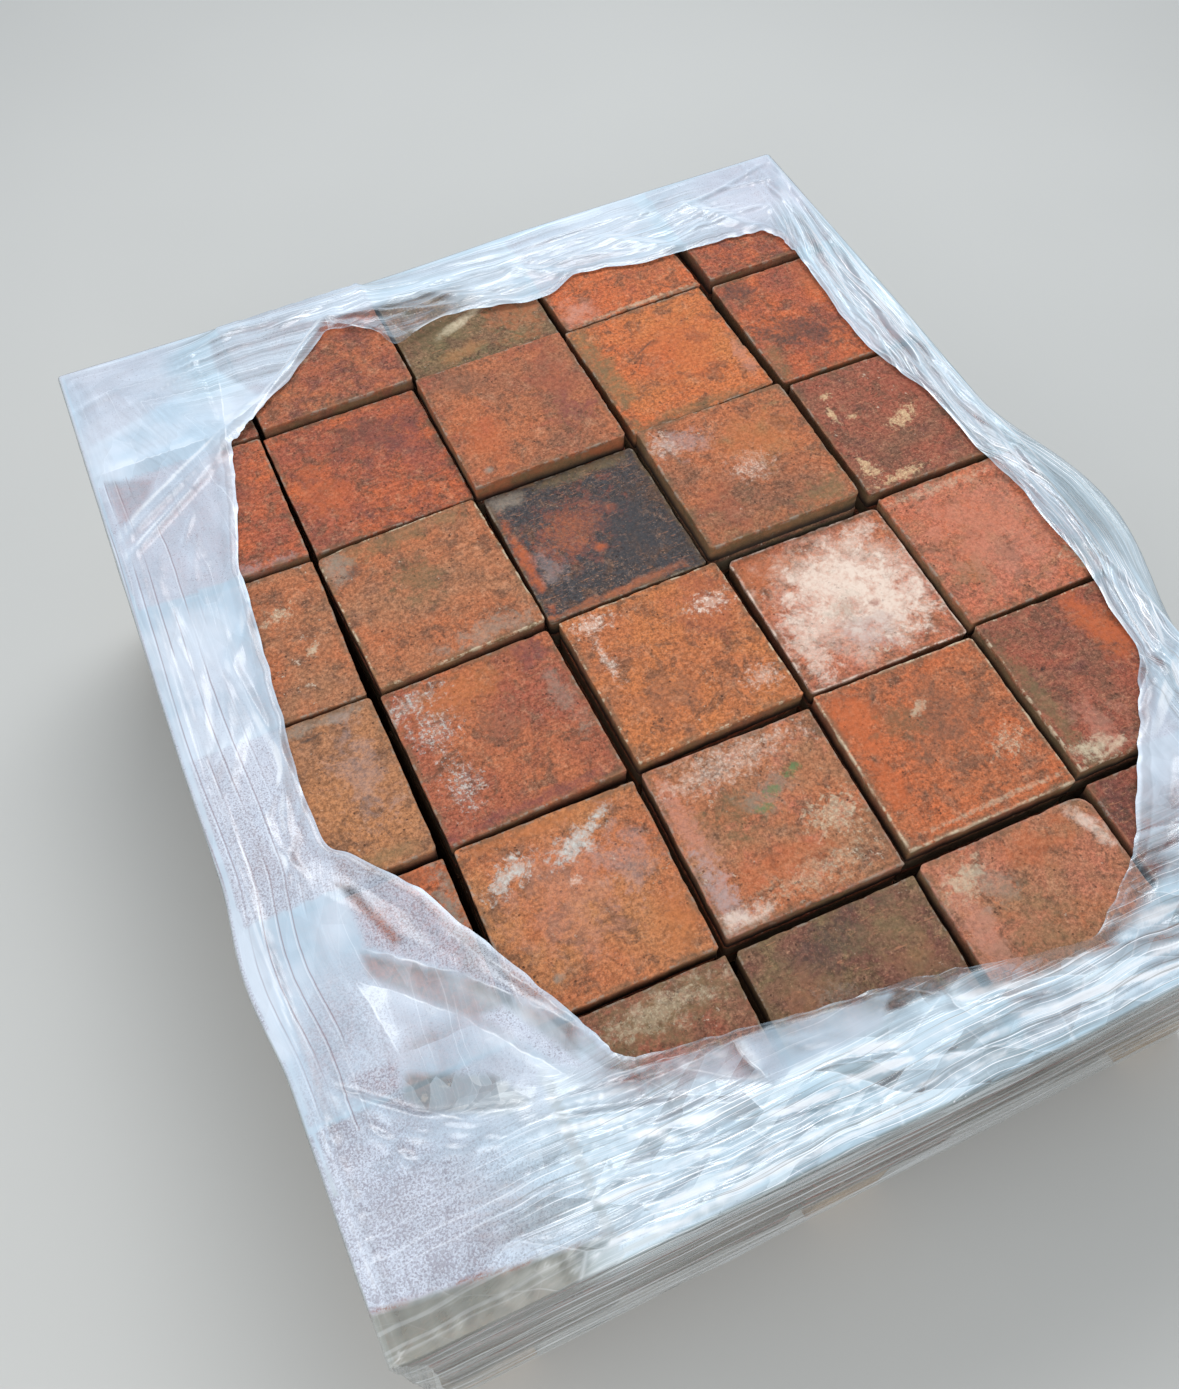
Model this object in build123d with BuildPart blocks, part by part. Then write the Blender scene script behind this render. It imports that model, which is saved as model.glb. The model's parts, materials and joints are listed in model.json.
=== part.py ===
"""A pallet of square hand-made terracotta tiles, laid flat in piles and wrapped in stretch film.

The origin is the middle of the pallet's underside. X runs along the pallet's short side, Y along
its long side away from the near end, and Z upwards. Rows are counted from the far end and columns
from the left. All lengths are in millimetres and all angles in degrees.
"""

import os
from math import cos, radians, sin

from build123d import *

# Tiles
tile_side = 195
tile_thickness = 25
tile_corner = 6  # worn plan corners of the tiles on top
tile_arris = 2  # worn upper edges of the same tiles

# Load
columns = 5
rows = 6
layers = 14
whole_layers = 2  # layers under the top one that hold every tile
column_joint = 9
row_joint = 5
sway = 0.4  # how far a tile further down sits off its pile's centre
sway_turn = 0.15
outward_sway = 3  # how far the outermost tiles stand out of line

# Pallet
pallet_width = 1000
pallet_length = 1200
board_thickness = 22
deck_boards = 7
deck_board_width = 120
runner_width = 100
block_length = 145
block_height = 78
board_edge = 2

# Stretch film
film_thickness = 0.5
film_clearance = 0.3
film_edge_radius = 14  # at the corners of the cut opening
film_slack = 30  # the right side's loose bulge
film_slack_at = -105

# Each pile stands a little off its place in the grid. Every list below reads like a plan of the
# load: six rows from the far end to the near one, each from left to right.
shift_right = [
    [-4, -9, -12, -14, -6],
    [-5, -9, -15, -14, -6],
    [-5, -5, -7, -11, -3],
    [-3, -1, 3, 8, 2],
    [-1, 1, 3, 2, -1],
    [0, 1, 3, 2, -1],
]
shift_back = [
    [2, 3, 5, 12, 18],
    [0, 2, 4, 11, 16],
    [0, 1, 6, 10, 13],
    [-1, 0, 5, 7, 9],
    [-3, -2, 0, 4, 6],
    [-4, -4, -7, -4, 0],
]
turn = [
    [0.5, 1.5, 1, 2.5, 1],
    [0.3, 1.5, 1, 2, 0.5],
    [-0.9, 3, 0.8, 0, 0],
    [0.7, 1.7, 1.6, 0, 0.5],
    [-0.5, -1, -1, -1, -1],
    [-0.5, -1, -1, -0.5, -1],
]
rise = [
    [0, 8, 0, 2, 4],
    [3, -2, 14, 6, -2],
    [-2, 2, -6, 14, 0],
    [0, -4, 0, -11, 0],
    [-6, -6, -9, -3, 5],
    [-4, -8, -14, -9, -7],
]

# The near row of piles leans: its tiles lie further right from layer to layer, down to a layer
# from which they are this far off, most at the row's left end.
near_row_lean = [17, 13, 9, 5, 2]
lean_layers = 5

# The near left tile on top is broken along its near side, more at its left end than at its right.
broken_tile = (6, 1)
broken_depth_left = 40
broken_depth_right = 16

# The piles stand a joint apart, and further where the pallet has room for it.
room_across = (pallet_width - tile_side - column_joint) / (columns - 1)
room_along = (pallet_length - tile_side - row_joint) / (rows - 1)
column_pitch = max(tile_side + column_joint, room_across)
row_pitch = max(tile_side + row_joint, room_along)
load_width = columns * column_pitch
load_length = rows * row_pitch
pallet_height = 3 * board_thickness + block_height
load_height = layers * tile_thickness


def wobble(*numbers):
    """A steady but irregular value from -1 to 1 for a row, column, layer and axis."""
    total = sum(number * factor for number, factor in zip(numbers, (1.7, 3.1, 2.3, 4.9)))
    return sin(total * total)


def side_of(number, count):
    """-1 for the first of a line of piles, 1 for the last and 0 between them."""
    return (number == count) - (number == 1)


def pile_tile_thickness(row, column):
    """Hand-made tiles differ, so a pile that stands higher has thicker tiles all the way down."""
    return (load_height + rise[row - 1][column - 1]) / layers


def tile_plane(row, column, layer):
    """The plane of a tile's underside, turned with the tile. Layer 1 is the one on top."""
    x = (column - (columns + 1) / 2) * column_pitch + shift_right[row - 1][column - 1]
    y = ((rows + 1) / 2 - row) * row_pitch + shift_back[row - 1][column - 1]
    z = pallet_height + (layers - layer) * pile_tile_thickness(row, column)
    angle = turn[row - 1][column - 1]
    if layer > 1:
        if row == rows:
            x += near_row_lean[column - 1] * min(1, (layer - 1) / lean_layers)
        out_x = side_of(column, columns) * outward_sway
        out_y = -side_of(row, rows) * outward_sway
        along_x = wobble(row, column, layer, 1)
        along_y = wobble(row, column, layer, 2)
        x += sway * along_x + out_x * abs(along_x)
        y += sway * along_y + out_y * abs(along_y)
        angle += sway_turn * wobble(row, column, layer, 3)
    direction = (cos(radians(angle)), sin(radians(angle)), 0)
    return Plane(origin=(x, y, z), x_dir=direction, z_dir=(0, 0, 1))


def is_rim(row, column):
    return side_of(row, rows) != 0 or side_of(column, columns) != 0


def finish(piece, name, colour):
    """Names a finished piece and writes it to its own file."""
    piece.part.label = name
    piece.part.color = Color(*colour)
    export_step(piece.part, f"parts/{name}.step")


every_pile = [(row, column) for row in range(1, rows + 1) for column in range(1, columns + 1)]
rim_piles = [pile for pile in every_pile if is_rim(*pile)]
inner_piles = [pile for pile in every_pile if not is_rim(*pile)]

terracotta = (0.68, 0.30, 0.17)
timber = (0.72, 0.58, 0.40)
clear_film = (0.85, 0.90, 0.95, 0.5)

os.makedirs("parts", exist_ok=True)


# Tiles on top, each a piece of its own
def make_top_tile(row, column):
    plane = tile_plane(row, column, 1)
    with BuildPart() as tile:
        with BuildSketch(plane):
            RectangleRounded(tile_side, tile_side, tile_corner)
        extrude(amount=pile_tile_thickness(row, column))
        if (row, column) == broken_tile:
            half = tile_side / 2
            with BuildSketch(plane):
                with BuildLine():
                    Polyline(
                        (-half, -half),
                        (half, -half),
                        (half, -half + broken_depth_right),
                        (-half, -half + broken_depth_left),
                        close=True,
                    )
                make_face()
            extrude(amount=pile_tile_thickness(row, column), mode=Mode.SUBTRACT)
        chamfer(tile.faces().sort_by(Axis.Z)[-1].edges(), tile_arris)
    finish(tile, f"top_tile_row{row}_column{column}", terracotta)


for row, column in every_pile:
    make_top_tile(row, column)


# Layers below. The inner piles show only in the joints, so they stop after a few layers.
def square_slab(plane, height):
    with BuildPart() as slab:
        with BuildSketch(plane):
            Rectangle(tile_side, tile_side)
        extrude(amount=height)
    return slab.part


def make_layer(layer):
    piles = every_pile if layer <= 1 + whole_layers else rim_piles
    slabs = [
        square_slab(tile_plane(row, column, layer), pile_tile_thickness(row, column))
        for row, column in piles
    ]
    with BuildPart() as tiles:
        add(slabs)
    finish(tiles, f"tile_layer_{layer:02d}", terracotta)


for layer in range(2, layers + 1):
    make_layer(layer)


# Core: each inner pile below those layers is one plain block.
core_layers = layers - 1 - whole_layers
core_blocks = []
for row, column in inner_piles:
    pile_foot = tile_plane(row, column, 1)
    pile_foot = pile_foot.offset(pallet_height - pile_foot.origin.Z)
    core_blocks.append(square_slab(pile_foot, core_layers * pile_tile_thickness(row, column)))
with BuildPart() as core:
    add(core_blocks)
finish(core, "tile_core", terracotta)


# Pallet
def make_board(name, width, length, x, y, z):
    with BuildPart() as board:
        with BuildSketch(Plane((x, y, z))):
            Rectangle(width, length)
        extrude(amount=board_thickness)
        chamfer(board.edges().filter_by(Axis.X if width > length else Axis.Y), board_edge)
    finish(board, name, timber)


deck_pitch = (pallet_length - deck_board_width) / (deck_boards - 1)
for number in range(deck_boards):
    y = -pallet_length / 2 + deck_board_width / 2 + number * deck_pitch
    z = pallet_height - board_thickness
    make_board(f"deck_board_{number + 1}", pallet_width, deck_board_width, 0, y, z)

runner_pitch = (pallet_width - runner_width) / 2
block_pitch = (pallet_length - block_length) / 2
for side, name in ((-1, "left"), (0, "middle"), (1, "right")):
    x = side * runner_pitch
    z = board_thickness + block_height
    make_board(f"stringer_board_{name}", runner_width, pallet_length, x, 0, z)
    make_board(f"bottom_board_{name}", runner_width, pallet_length, x, 0, 0)

with BuildPart() as blocks:
    with BuildSketch(Plane.XY.offset(board_thickness)):
        with GridLocations(runner_pitch, block_pitch, 3, 3):
            Rectangle(runner_width, block_length)
    extrude(amount=block_height)
finish(blocks, "pallet_blocks", timber)


# Stretch film: a skin pulled round every tile, with a ragged opening cut in its top
def tile_corners(row, column, layer):
    plane = tile_plane(row, column, layer)
    half = tile_side / 2
    near_left, near_right = -half, -half
    if (row, column) == broken_tile and layer == 1:
        near_left += broken_depth_left
        near_right += broken_depth_right
    corners = [(-half, near_left), (half, near_right), (half, half), (-half, half)]
    return [plane.from_local_coords(Vector(x, y)) for x, y in corners]


def stretched_round(points):
    """The corners that a band stretched round all the points touches, anticlockwise."""

    def one_side(ordered):
        chain = []
        for point in ordered:
            while len(chain) > 1 and (chain[-1] - chain[-2]).cross(point - chain[-1]).Z <= 0:
                chain.pop()
            chain.append(point)
        return chain[:-1]

    ordered = sorted(points, key=lambda point: (point.X, point.Y))
    return one_side(ordered) + one_side(ordered[::-1])


def near_edge(x, inset):
    return (x, -load_length / 2 + inset)


def far_edge(x, inset):
    return (x, load_length / 2 - inset)


def left_edge(y, inset):
    return (-load_width / 2 + inset, y)


def right_edge(y, inset):
    return (load_width / 2 - inset, y)


# Going round the opening clockwise from its far left corner
opening_outline = [
    *[far_edge(x, inset) for x, inset in ((-305, 170), (-198, 90), (-106, 82), (-22, 90))],
    *[far_edge(x, inset) for x, inset in ((65, 120), (146, 97), (234, 115), (361, 120))],
    far_edge(417, 128),
    *[right_edge(y, inset) for y, inset in ((413, 77), (224, 80), (128, 54), (-44, 44))],
    *[right_edge(y, inset) for y, inset in ((-179, 42), (-231, 58), (-300, 60))],
    *[near_edge(x, inset) for x, inset in ((377, 211), (290, 103), (219, 61), (104, 81))],
    *[near_edge(x, inset) for x, inset in ((-71, 110), (-233, 140))],
    *[left_edge(y, inset) for y, inset in ((-401, 249), (-229, 168), (-153, 100))],
    *[left_edge(y, inset) for y, inset in ((14, 104), (217, 118), (316, 144))],
]

film_foot = pallet_height - 2 * board_thickness
rim_rise = max(rise[row - 1][column - 1] for row, column in rim_piles)
film_top = pallet_height + load_height + rim_rise + film_clearance + film_thickness
film_plane = Plane.XY.offset(film_foot)

load_corners = [
    corner
    for layer in range(1, layers + 1)
    for row, column in rim_piles
    for corner in tile_corners(row, column, layer)
]
load_corners += [
    Vector(x * pallet_width / 2, y * pallet_length / 2) for x in (-1, 1) for y in (-1, 1)
]
load_corners = [Vector(corner.X, corner.Y) for corner in load_corners]
load_right = max(corner.X for corner in load_corners)
load_corners.append(Vector(load_right + film_slack, film_slack_at))
load_outline = [(corner.X, corner.Y) for corner in stretched_round(load_corners)]

with BuildPart() as film:
    with BuildSketch(film_plane):
        with BuildLine():
            Polyline(*load_outline, close=True)
        make_face()
        offset(amount=film_clearance + film_thickness, kind=Kind.INTERSECTION)
    extrude(amount=film_top - film_foot)
    with BuildSketch(film_plane):
        with BuildLine():
            Polyline(*load_outline, close=True)
        make_face()
        offset(amount=film_clearance, kind=Kind.INTERSECTION)
    extrude(amount=film_top - film_thickness - film_foot, mode=Mode.SUBTRACT)
    with BuildSketch(Plane.XY.offset(film_top)) as opening:
        with BuildLine():
            Polyline(*opening_outline, close=True)
        make_face()
        fillet(opening.vertices(), film_edge_radius)
    extrude(amount=-2 * film_thickness, mode=Mode.SUBTRACT)
finish(film, "stretch_film", clear_film)
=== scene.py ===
"""The looks of a pallet of hand-made terracotta tiles in torn stretch film.

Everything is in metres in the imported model's frame. Sizes written in millimetres go through MM.
Rows of piles are counted from the far end and columns from the left, as in the nodes' names.
"""

import bpy
import numpy as np
from math import atan2, cos, hypot, pi, radians, sin
from mathutils import Matrix, Vector
from mathutils.geometry import convex_hull_2d
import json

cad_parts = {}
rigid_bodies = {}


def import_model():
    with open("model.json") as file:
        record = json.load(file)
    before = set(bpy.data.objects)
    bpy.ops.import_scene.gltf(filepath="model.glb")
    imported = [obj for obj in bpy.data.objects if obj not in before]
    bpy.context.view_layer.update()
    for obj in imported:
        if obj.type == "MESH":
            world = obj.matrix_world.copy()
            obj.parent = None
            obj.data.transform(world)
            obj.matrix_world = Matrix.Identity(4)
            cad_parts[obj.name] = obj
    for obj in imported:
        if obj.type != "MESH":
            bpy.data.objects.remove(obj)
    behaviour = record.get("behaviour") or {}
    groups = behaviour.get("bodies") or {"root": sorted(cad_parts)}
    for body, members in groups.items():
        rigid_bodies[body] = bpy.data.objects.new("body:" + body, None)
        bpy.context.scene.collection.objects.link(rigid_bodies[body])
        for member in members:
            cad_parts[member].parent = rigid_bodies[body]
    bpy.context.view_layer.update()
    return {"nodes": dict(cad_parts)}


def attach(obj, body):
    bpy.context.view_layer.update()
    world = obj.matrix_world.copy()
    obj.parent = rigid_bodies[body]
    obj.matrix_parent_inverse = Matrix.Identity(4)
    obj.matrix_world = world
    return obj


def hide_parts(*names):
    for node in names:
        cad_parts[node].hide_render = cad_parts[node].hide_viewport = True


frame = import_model()

MM = 0.001
ROWS = range(1, 7)
COLUMNS = range(1, 6)
LAYERS = range(2, 15)
TILE_SIDE = 195 * MM
PALLET_TOP = 144 * MM
FILM_FOOT = 100 * MM


# Camera
def photo_camera():
    right = Vector((0.91064, -0.41315, -0.00545))
    down = Vector((-0.35353, -0.77225, -0.52786))
    forward = Vector((0.21388, 0.48262, -0.84931))
    data = bpy.data.cameras.new("photo_camera")
    data.sensor_fit = "VERTICAL"
    data.sensor_height = 36
    data.lens = 32.75
    camera = bpy.data.objects.new("photo_camera", data)
    camera.matrix_world = Matrix.Translation((-0.3881, -0.7399, 1.6237)) @ Matrix(
        (right, -down, -forward)
    ).transposed().to_4x4()
    bpy.context.scene.collection.objects.link(camera)
    bpy.context.scene.camera = camera


photo_camera()
bpy.context.scene.view_settings.view_transform = "Standard"


# Nodes
def add_node(tree, kind, inputs=None, **settings):
    """A new node with its settings, and its inputs set to values or linked to sockets."""
    made = tree.nodes.new(kind)
    for name, value in settings.items():
        setattr(made, name, value)
    for key, value in (inputs or {}).items():
        if isinstance(value, bpy.types.NodeSocket):
            tree.links.new(value, made.inputs[key])
        else:
            made.inputs[key].default_value = value
    return made


def noise(tree, place, scale, detail=4.0, roughness=0.55, distortion=0.0):
    made = add_node(
        tree,
        "ShaderNodeTexNoise",
        {
            "Vector": place,
            "Scale": scale,
            "Detail": detail,
            "Roughness": roughness,
            "Distortion": distortion,
        },
    )
    return made.outputs["Fac"]


def maths(tree, operation, first, second=0.0, clamp=False):
    made = add_node(
        tree, "ShaderNodeMath", {0: first, 1: second}, operation=operation, use_clamp=clamp
    )
    return made.outputs[0]


def between(tree, value, low, high, out_low=0.0, out_high=1.0):
    """A smooth step of a value from low to high."""
    made = add_node(
        tree,
        "ShaderNodeMapRange",
        {"Value": value, "From Min": low, "From Max": high, "To Min": out_low, "To Max": out_high},
        interpolation_type="SMOOTHSTEP",
    )
    return made.outputs["Result"]


def blend(tree, factor, under, over, kind="MIX"):
    made = add_node(
        tree,
        "ShaderNodeMix",
        {0: factor, 6: under, 7: over},
        data_type="RGBA",
        blend_type=kind,
        clamp_factor=True,
    )
    return made.outputs[2]


def scaled(tree, place, scale, turn=0.0, location=(0, 0, 0)):
    made = add_node(
        tree,
        "ShaderNodeMapping",
        {"Vector": place, "Scale": scale, "Rotation": (0, 0, turn), "Location": location},
    )
    return made.outputs["Vector"]


def attribute(tree, name):
    return add_node(tree, "ShaderNodeAttribute", attribute_name=name).outputs["Fac"]


def object_place(tree):
    return add_node(tree, "ShaderNodeTexCoord").outputs["Object"]


def new_material(name):
    material = bpy.data.materials.new(name)
    material.use_nodes = True
    tree = material.node_tree
    tree.nodes.clear()
    shader = add_node(tree, "ShaderNodeBsdfPrincipled")
    output = add_node(tree, "ShaderNodeOutputMaterial")
    tree.links.new(shader.outputs["BSDF"], output.inputs["Surface"])
    return material, tree, shader


def bump(tree, height, distance, strength=1.0, under=None):
    inputs = {"Height": height, "Distance": distance, "Strength": strength}
    if under is not None:
        inputs["Normal"] = under
    return add_node(tree, "ShaderNodeBump", inputs).outputs["Normal"]


def tone(red, green, blue):
    """A colour as it looks on a screen, 0 to 255, as linear light."""

    def linear(value):
        value = value / 255
        return value / 12.92 if value <= 0.04045 else ((value + 0.055) / 1.055) ** 2.4

    return (linear(red), linear(green), linear(blue), 1.0)


# Fired clay
CLAY = {
    "orange": tone(180, 104, 66),
    "bright": tone(194, 98, 54),
    "red": tone(154, 82, 62),
    "deep": tone(110, 66, 58),
    "brown": tone(128, 88, 68),
    "tan": tone(162, 112, 80),
    "ochre": tone(180, 120, 76),
    "khaki": tone(122, 104, 72),
    "olive": tone(100, 92, 64),
    "charcoal": tone(66, 59, 56),
    "salmon": tone(186, 110, 86),
    "pink": tone(196, 138, 118),
    "wash": tone(230, 210, 194),
    "cream": tone(206, 190, 162),
    "lilac": tone(172, 154, 152),
    "grey": tone(148, 136, 122),
    "moss": tone(96, 124, 78),
    "soot": tone(34, 28, 26),
    "amber": tone(190, 114, 64),
    "plum": tone(122, 66, 66),
    "slate": tone(62, 61, 64),
    "chalk": tone(200, 202, 196),
    "pale_straw": tone(226, 196, 152),
}


def group_input(tree, name, kind, default=None):
    made = tree.interface.new_socket(name, in_out="INPUT", socket_type=kind)
    if default is not None:
        made.default_value = default


def fired_clay_group():
    """Mottled body colour, stains, lime specks, pits and grain of one tile."""
    tree = bpy.data.node_groups.new("fired_clay", "ShaderNodeTree")
    group_input(tree, "Place", "NodeSocketVector")
    for name in ("Body", "Bloom", "Stain"):
        group_input(tree, name, "NodeSocketColor")
    for name in ("Bloom cover", "Stain cover", "Lime cover", "Mottle size"):
        group_input(tree, name, "NodeSocketFloat", 0.5)
    tree.interface.new_socket("Colour", in_out="OUTPUT", socket_type="NodeSocketColor")
    tree.interface.new_socket("Roughness", in_out="OUTPUT", socket_type="NodeSocketFloat")
    tree.interface.new_socket("Height", in_out="OUTPUT", socket_type="NodeSocketFloat")
    given = add_node(tree, "NodeGroupInput").outputs
    place = given["Place"]

    size = maths(tree, "MULTIPLY", given["Mottle size"], 1.0)
    broad = noise(tree, place, size, 6.0, 0.62, 0.6)
    edge = maths(tree, "SUBTRACT", 1.0, given["Bloom cover"])
    lower = maths(tree, "SUBTRACT", edge, 0.2)
    upper = maths(tree, "ADD", edge, 0.2)
    colour = blend(tree, between(tree, broad, lower, upper), given["Body"], given["Bloom"])

    blotch = noise(tree, place, maths(tree, "MULTIPLY", size, 2.7), 8.0, 0.7, 0.3)
    edge = maths(tree, "SUBTRACT", 1.0, given["Stain cover"])
    lower = maths(tree, "SUBTRACT", edge, 0.1)
    upper = maths(tree, "ADD", edge, 0.16)
    stain = between(tree, blotch, lower, upper, 0.0, 0.9)
    colour = blend(tree, stain, colour, given["Stain"])

    soil = noise(tree, place, 34.0, 8.0, 0.76, 0.5)
    colour = blend(tree, between(tree, soil, 0.50, 0.60, 0.0, 0.64), colour, tone(98, 70, 54))
    bleach = noise(tree, scaled(tree, place, (1, 1, 1), 1.1, (3, 1, 2)), 48.0, 8.0, 0.78)
    colour = blend(tree, between(tree, bleach, 0.52, 0.66, 0.0, 0.32), colour, tone(198, 150, 118))

    fine = noise(tree, place, 210.0, 7.0, 0.78)
    speckled = between(tree, fine, 0.38, 0.62, 0.60, 1.28)
    tint = add_node(tree, "ShaderNodeCombineColor", {0: speckled, 1: speckled, 2: speckled})
    colour = blend(tree, 1.0, colour, tint.outputs[0], "MULTIPLY")

    scuff = noise(tree, scaled(tree, place, (60, 330, 120), 0.5), 1.0, 5.0, 0.7, 0.4)
    scuff = between(tree, scuff, 0.56, 0.68, 0.0, 0.45)
    colour = blend(tree, scuff, colour, tone(200, 136, 100))

    crumbs = noise(tree, place, 95.0, 6.0, 0.72, 0.2)
    near_lime = noise(tree, place, 17.0, 3.0, 0.6)
    crumbs = maths(tree, "ADD", crumbs, maths(tree, "MULTIPLY", near_lime, 0.45))
    edge = maths(tree, "SUBTRACT", 1.0, maths(tree, "MULTIPLY", given["Lime cover"], 0.26))
    lime = between(tree, crumbs, edge, maths(tree, "ADD", edge, 0.06), 0.0, 0.75)
    colour = blend(tree, lime, colour, tone(214, 190, 168))

    flecks = noise(tree, place, 430.0, 4.0, 0.75)
    colour = blend(tree, between(tree, flecks, 0.57, 0.68, 0.0, 0.5), colour, tone(206, 160, 128))
    colour = blend(tree, between(tree, flecks, 0.44, 0.33, 0.0, 0.7), colour, tone(80, 54, 44))

    dots = add_node(
        tree, "ShaderNodeTexVoronoi", {"Vector": place, "Scale": 150.0, "Randomness": 1.0}
    )
    keep = noise(tree, place, 60.0, 2.0)
    pit = between(tree, dots.outputs["Distance"], 0.10, 0.22, 1.0, 0.0)
    pit = maths(tree, "MULTIPLY", pit, between(tree, keep, 0.52, 0.62))
    # The pits are also darkened in colour: painted shade in the hollows.
    colour = blend(tree, maths(tree, "MULTIPLY", pit, 0.7), colour, tone(58, 36, 30))

    grain = noise(tree, place, 900.0, 4.0, 0.7)
    height = maths(tree, "MULTIPLY", fine, 0.5)
    height = maths(tree, "ADD", height, maths(tree, "MULTIPLY", broad, 0.6))
    height = maths(tree, "ADD", height, maths(tree, "MULTIPLY", grain, 0.22))
    height = maths(tree, "ADD", height, maths(tree, "MULTIPLY", lime, 0.35))
    height = maths(tree, "SUBTRACT", height, maths(tree, "MULTIPLY", pit, 0.8))
    rough = between(tree, fine, 0.3, 0.7, 0.92, 0.72)

    add_node(
        tree,
        "NodeGroupOutput",
        {"Colour": colour, "Roughness": rough, "Height": height},
    )
    return tree


def patch_group():
    """A ragged-edged patch of another colour at one place of a tile."""
    tree = bpy.data.node_groups.new("ragged_patch", "ShaderNodeTree")
    group_input(tree, "Under", "NodeSocketColor")
    group_input(tree, "Place", "NodeSocketVector")
    group_input(tree, "Colour", "NodeSocketColor")
    group_input(tree, "Centre", "NodeSocketVector")
    group_input(tree, "Half size", "NodeSocketVector")
    group_input(tree, "Turn", "NodeSocketVector")
    group_input(tree, "Strength", "NodeSocketFloat", 0.8)
    group_input(tree, "Ragged", "NodeSocketFloat", 1.0)
    group_input(tree, "Grain", "NodeSocketFloat", 70.0)
    group_input(tree, "Broken", "NodeSocketFloat", 0.0)
    tree.interface.new_socket("Colour", in_out="OUTPUT", socket_type="NodeSocketColor")
    given = add_node(tree, "NodeGroupInput").outputs
    local = add_node(
        tree,
        "ShaderNodeMapping",
        {
            "Vector": given["Place"],
            "Location": given["Centre"],
            "Rotation": given["Turn"],
            "Scale": given["Half size"],
        },
        vector_type="TEXTURE",
    )
    away = add_node(tree, "ShaderNodeVectorMath", {0: local.outputs[0]}, operation="LENGTH")
    torn = noise(tree, given["Place"], given["Grain"], 8.0, 0.74, 0.4)
    torn = maths(tree, "MULTIPLY", maths(tree, "SUBTRACT", torn, 0.5), given["Ragged"])
    reach = maths(tree, "ADD", away.outputs["Value"], maths(tree, "MULTIPLY", torn, 3.4))
    mask = between(tree, reach, 1.3, 0.3)
    flecks = noise(tree, given["Place"], 230.0, 6.0, 0.78)
    flecks = between(tree, flecks, 0.5, 0.56)
    whole = between(tree, noise(tree, given["Place"], 150.0, 5.0, 0.7), 0.3, 0.6, 0.45, 1.0)
    flecks = blend(tree, given["Broken"], whole, flecks)
    mask = maths(tree, "MULTIPLY", mask, flecks)
    mask = maths(tree, "MULTIPLY", mask, given["Strength"])
    add_node(
        tree, "NodeGroupOutput", {"Colour": blend(tree, mask, given["Under"], given["Colour"])}
    )
    return tree


fired_clay = fired_clay_group()
ragged_patch = patch_group()


def patch(colour, x, y, width, length, strength=0.8, turn=0, ragged=1.0, grain=40, broken=0.0):
    """A patch centred at x, y on a tile, in millimetres from its middle. A broken one is only
    flecks."""
    return {
        "Colour": CLAY[colour],
        "Centre": (x * MM, y * MM, 0),
        "Half size": (width / 2 * MM, length / 2 * MM, 60 * MM),
        "Turn": (0, 0, radians(turn)),
        "Strength": strength,
        "Ragged": ragged,
        "Grain": float(grain),
        "Broken": broken,
    }


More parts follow.
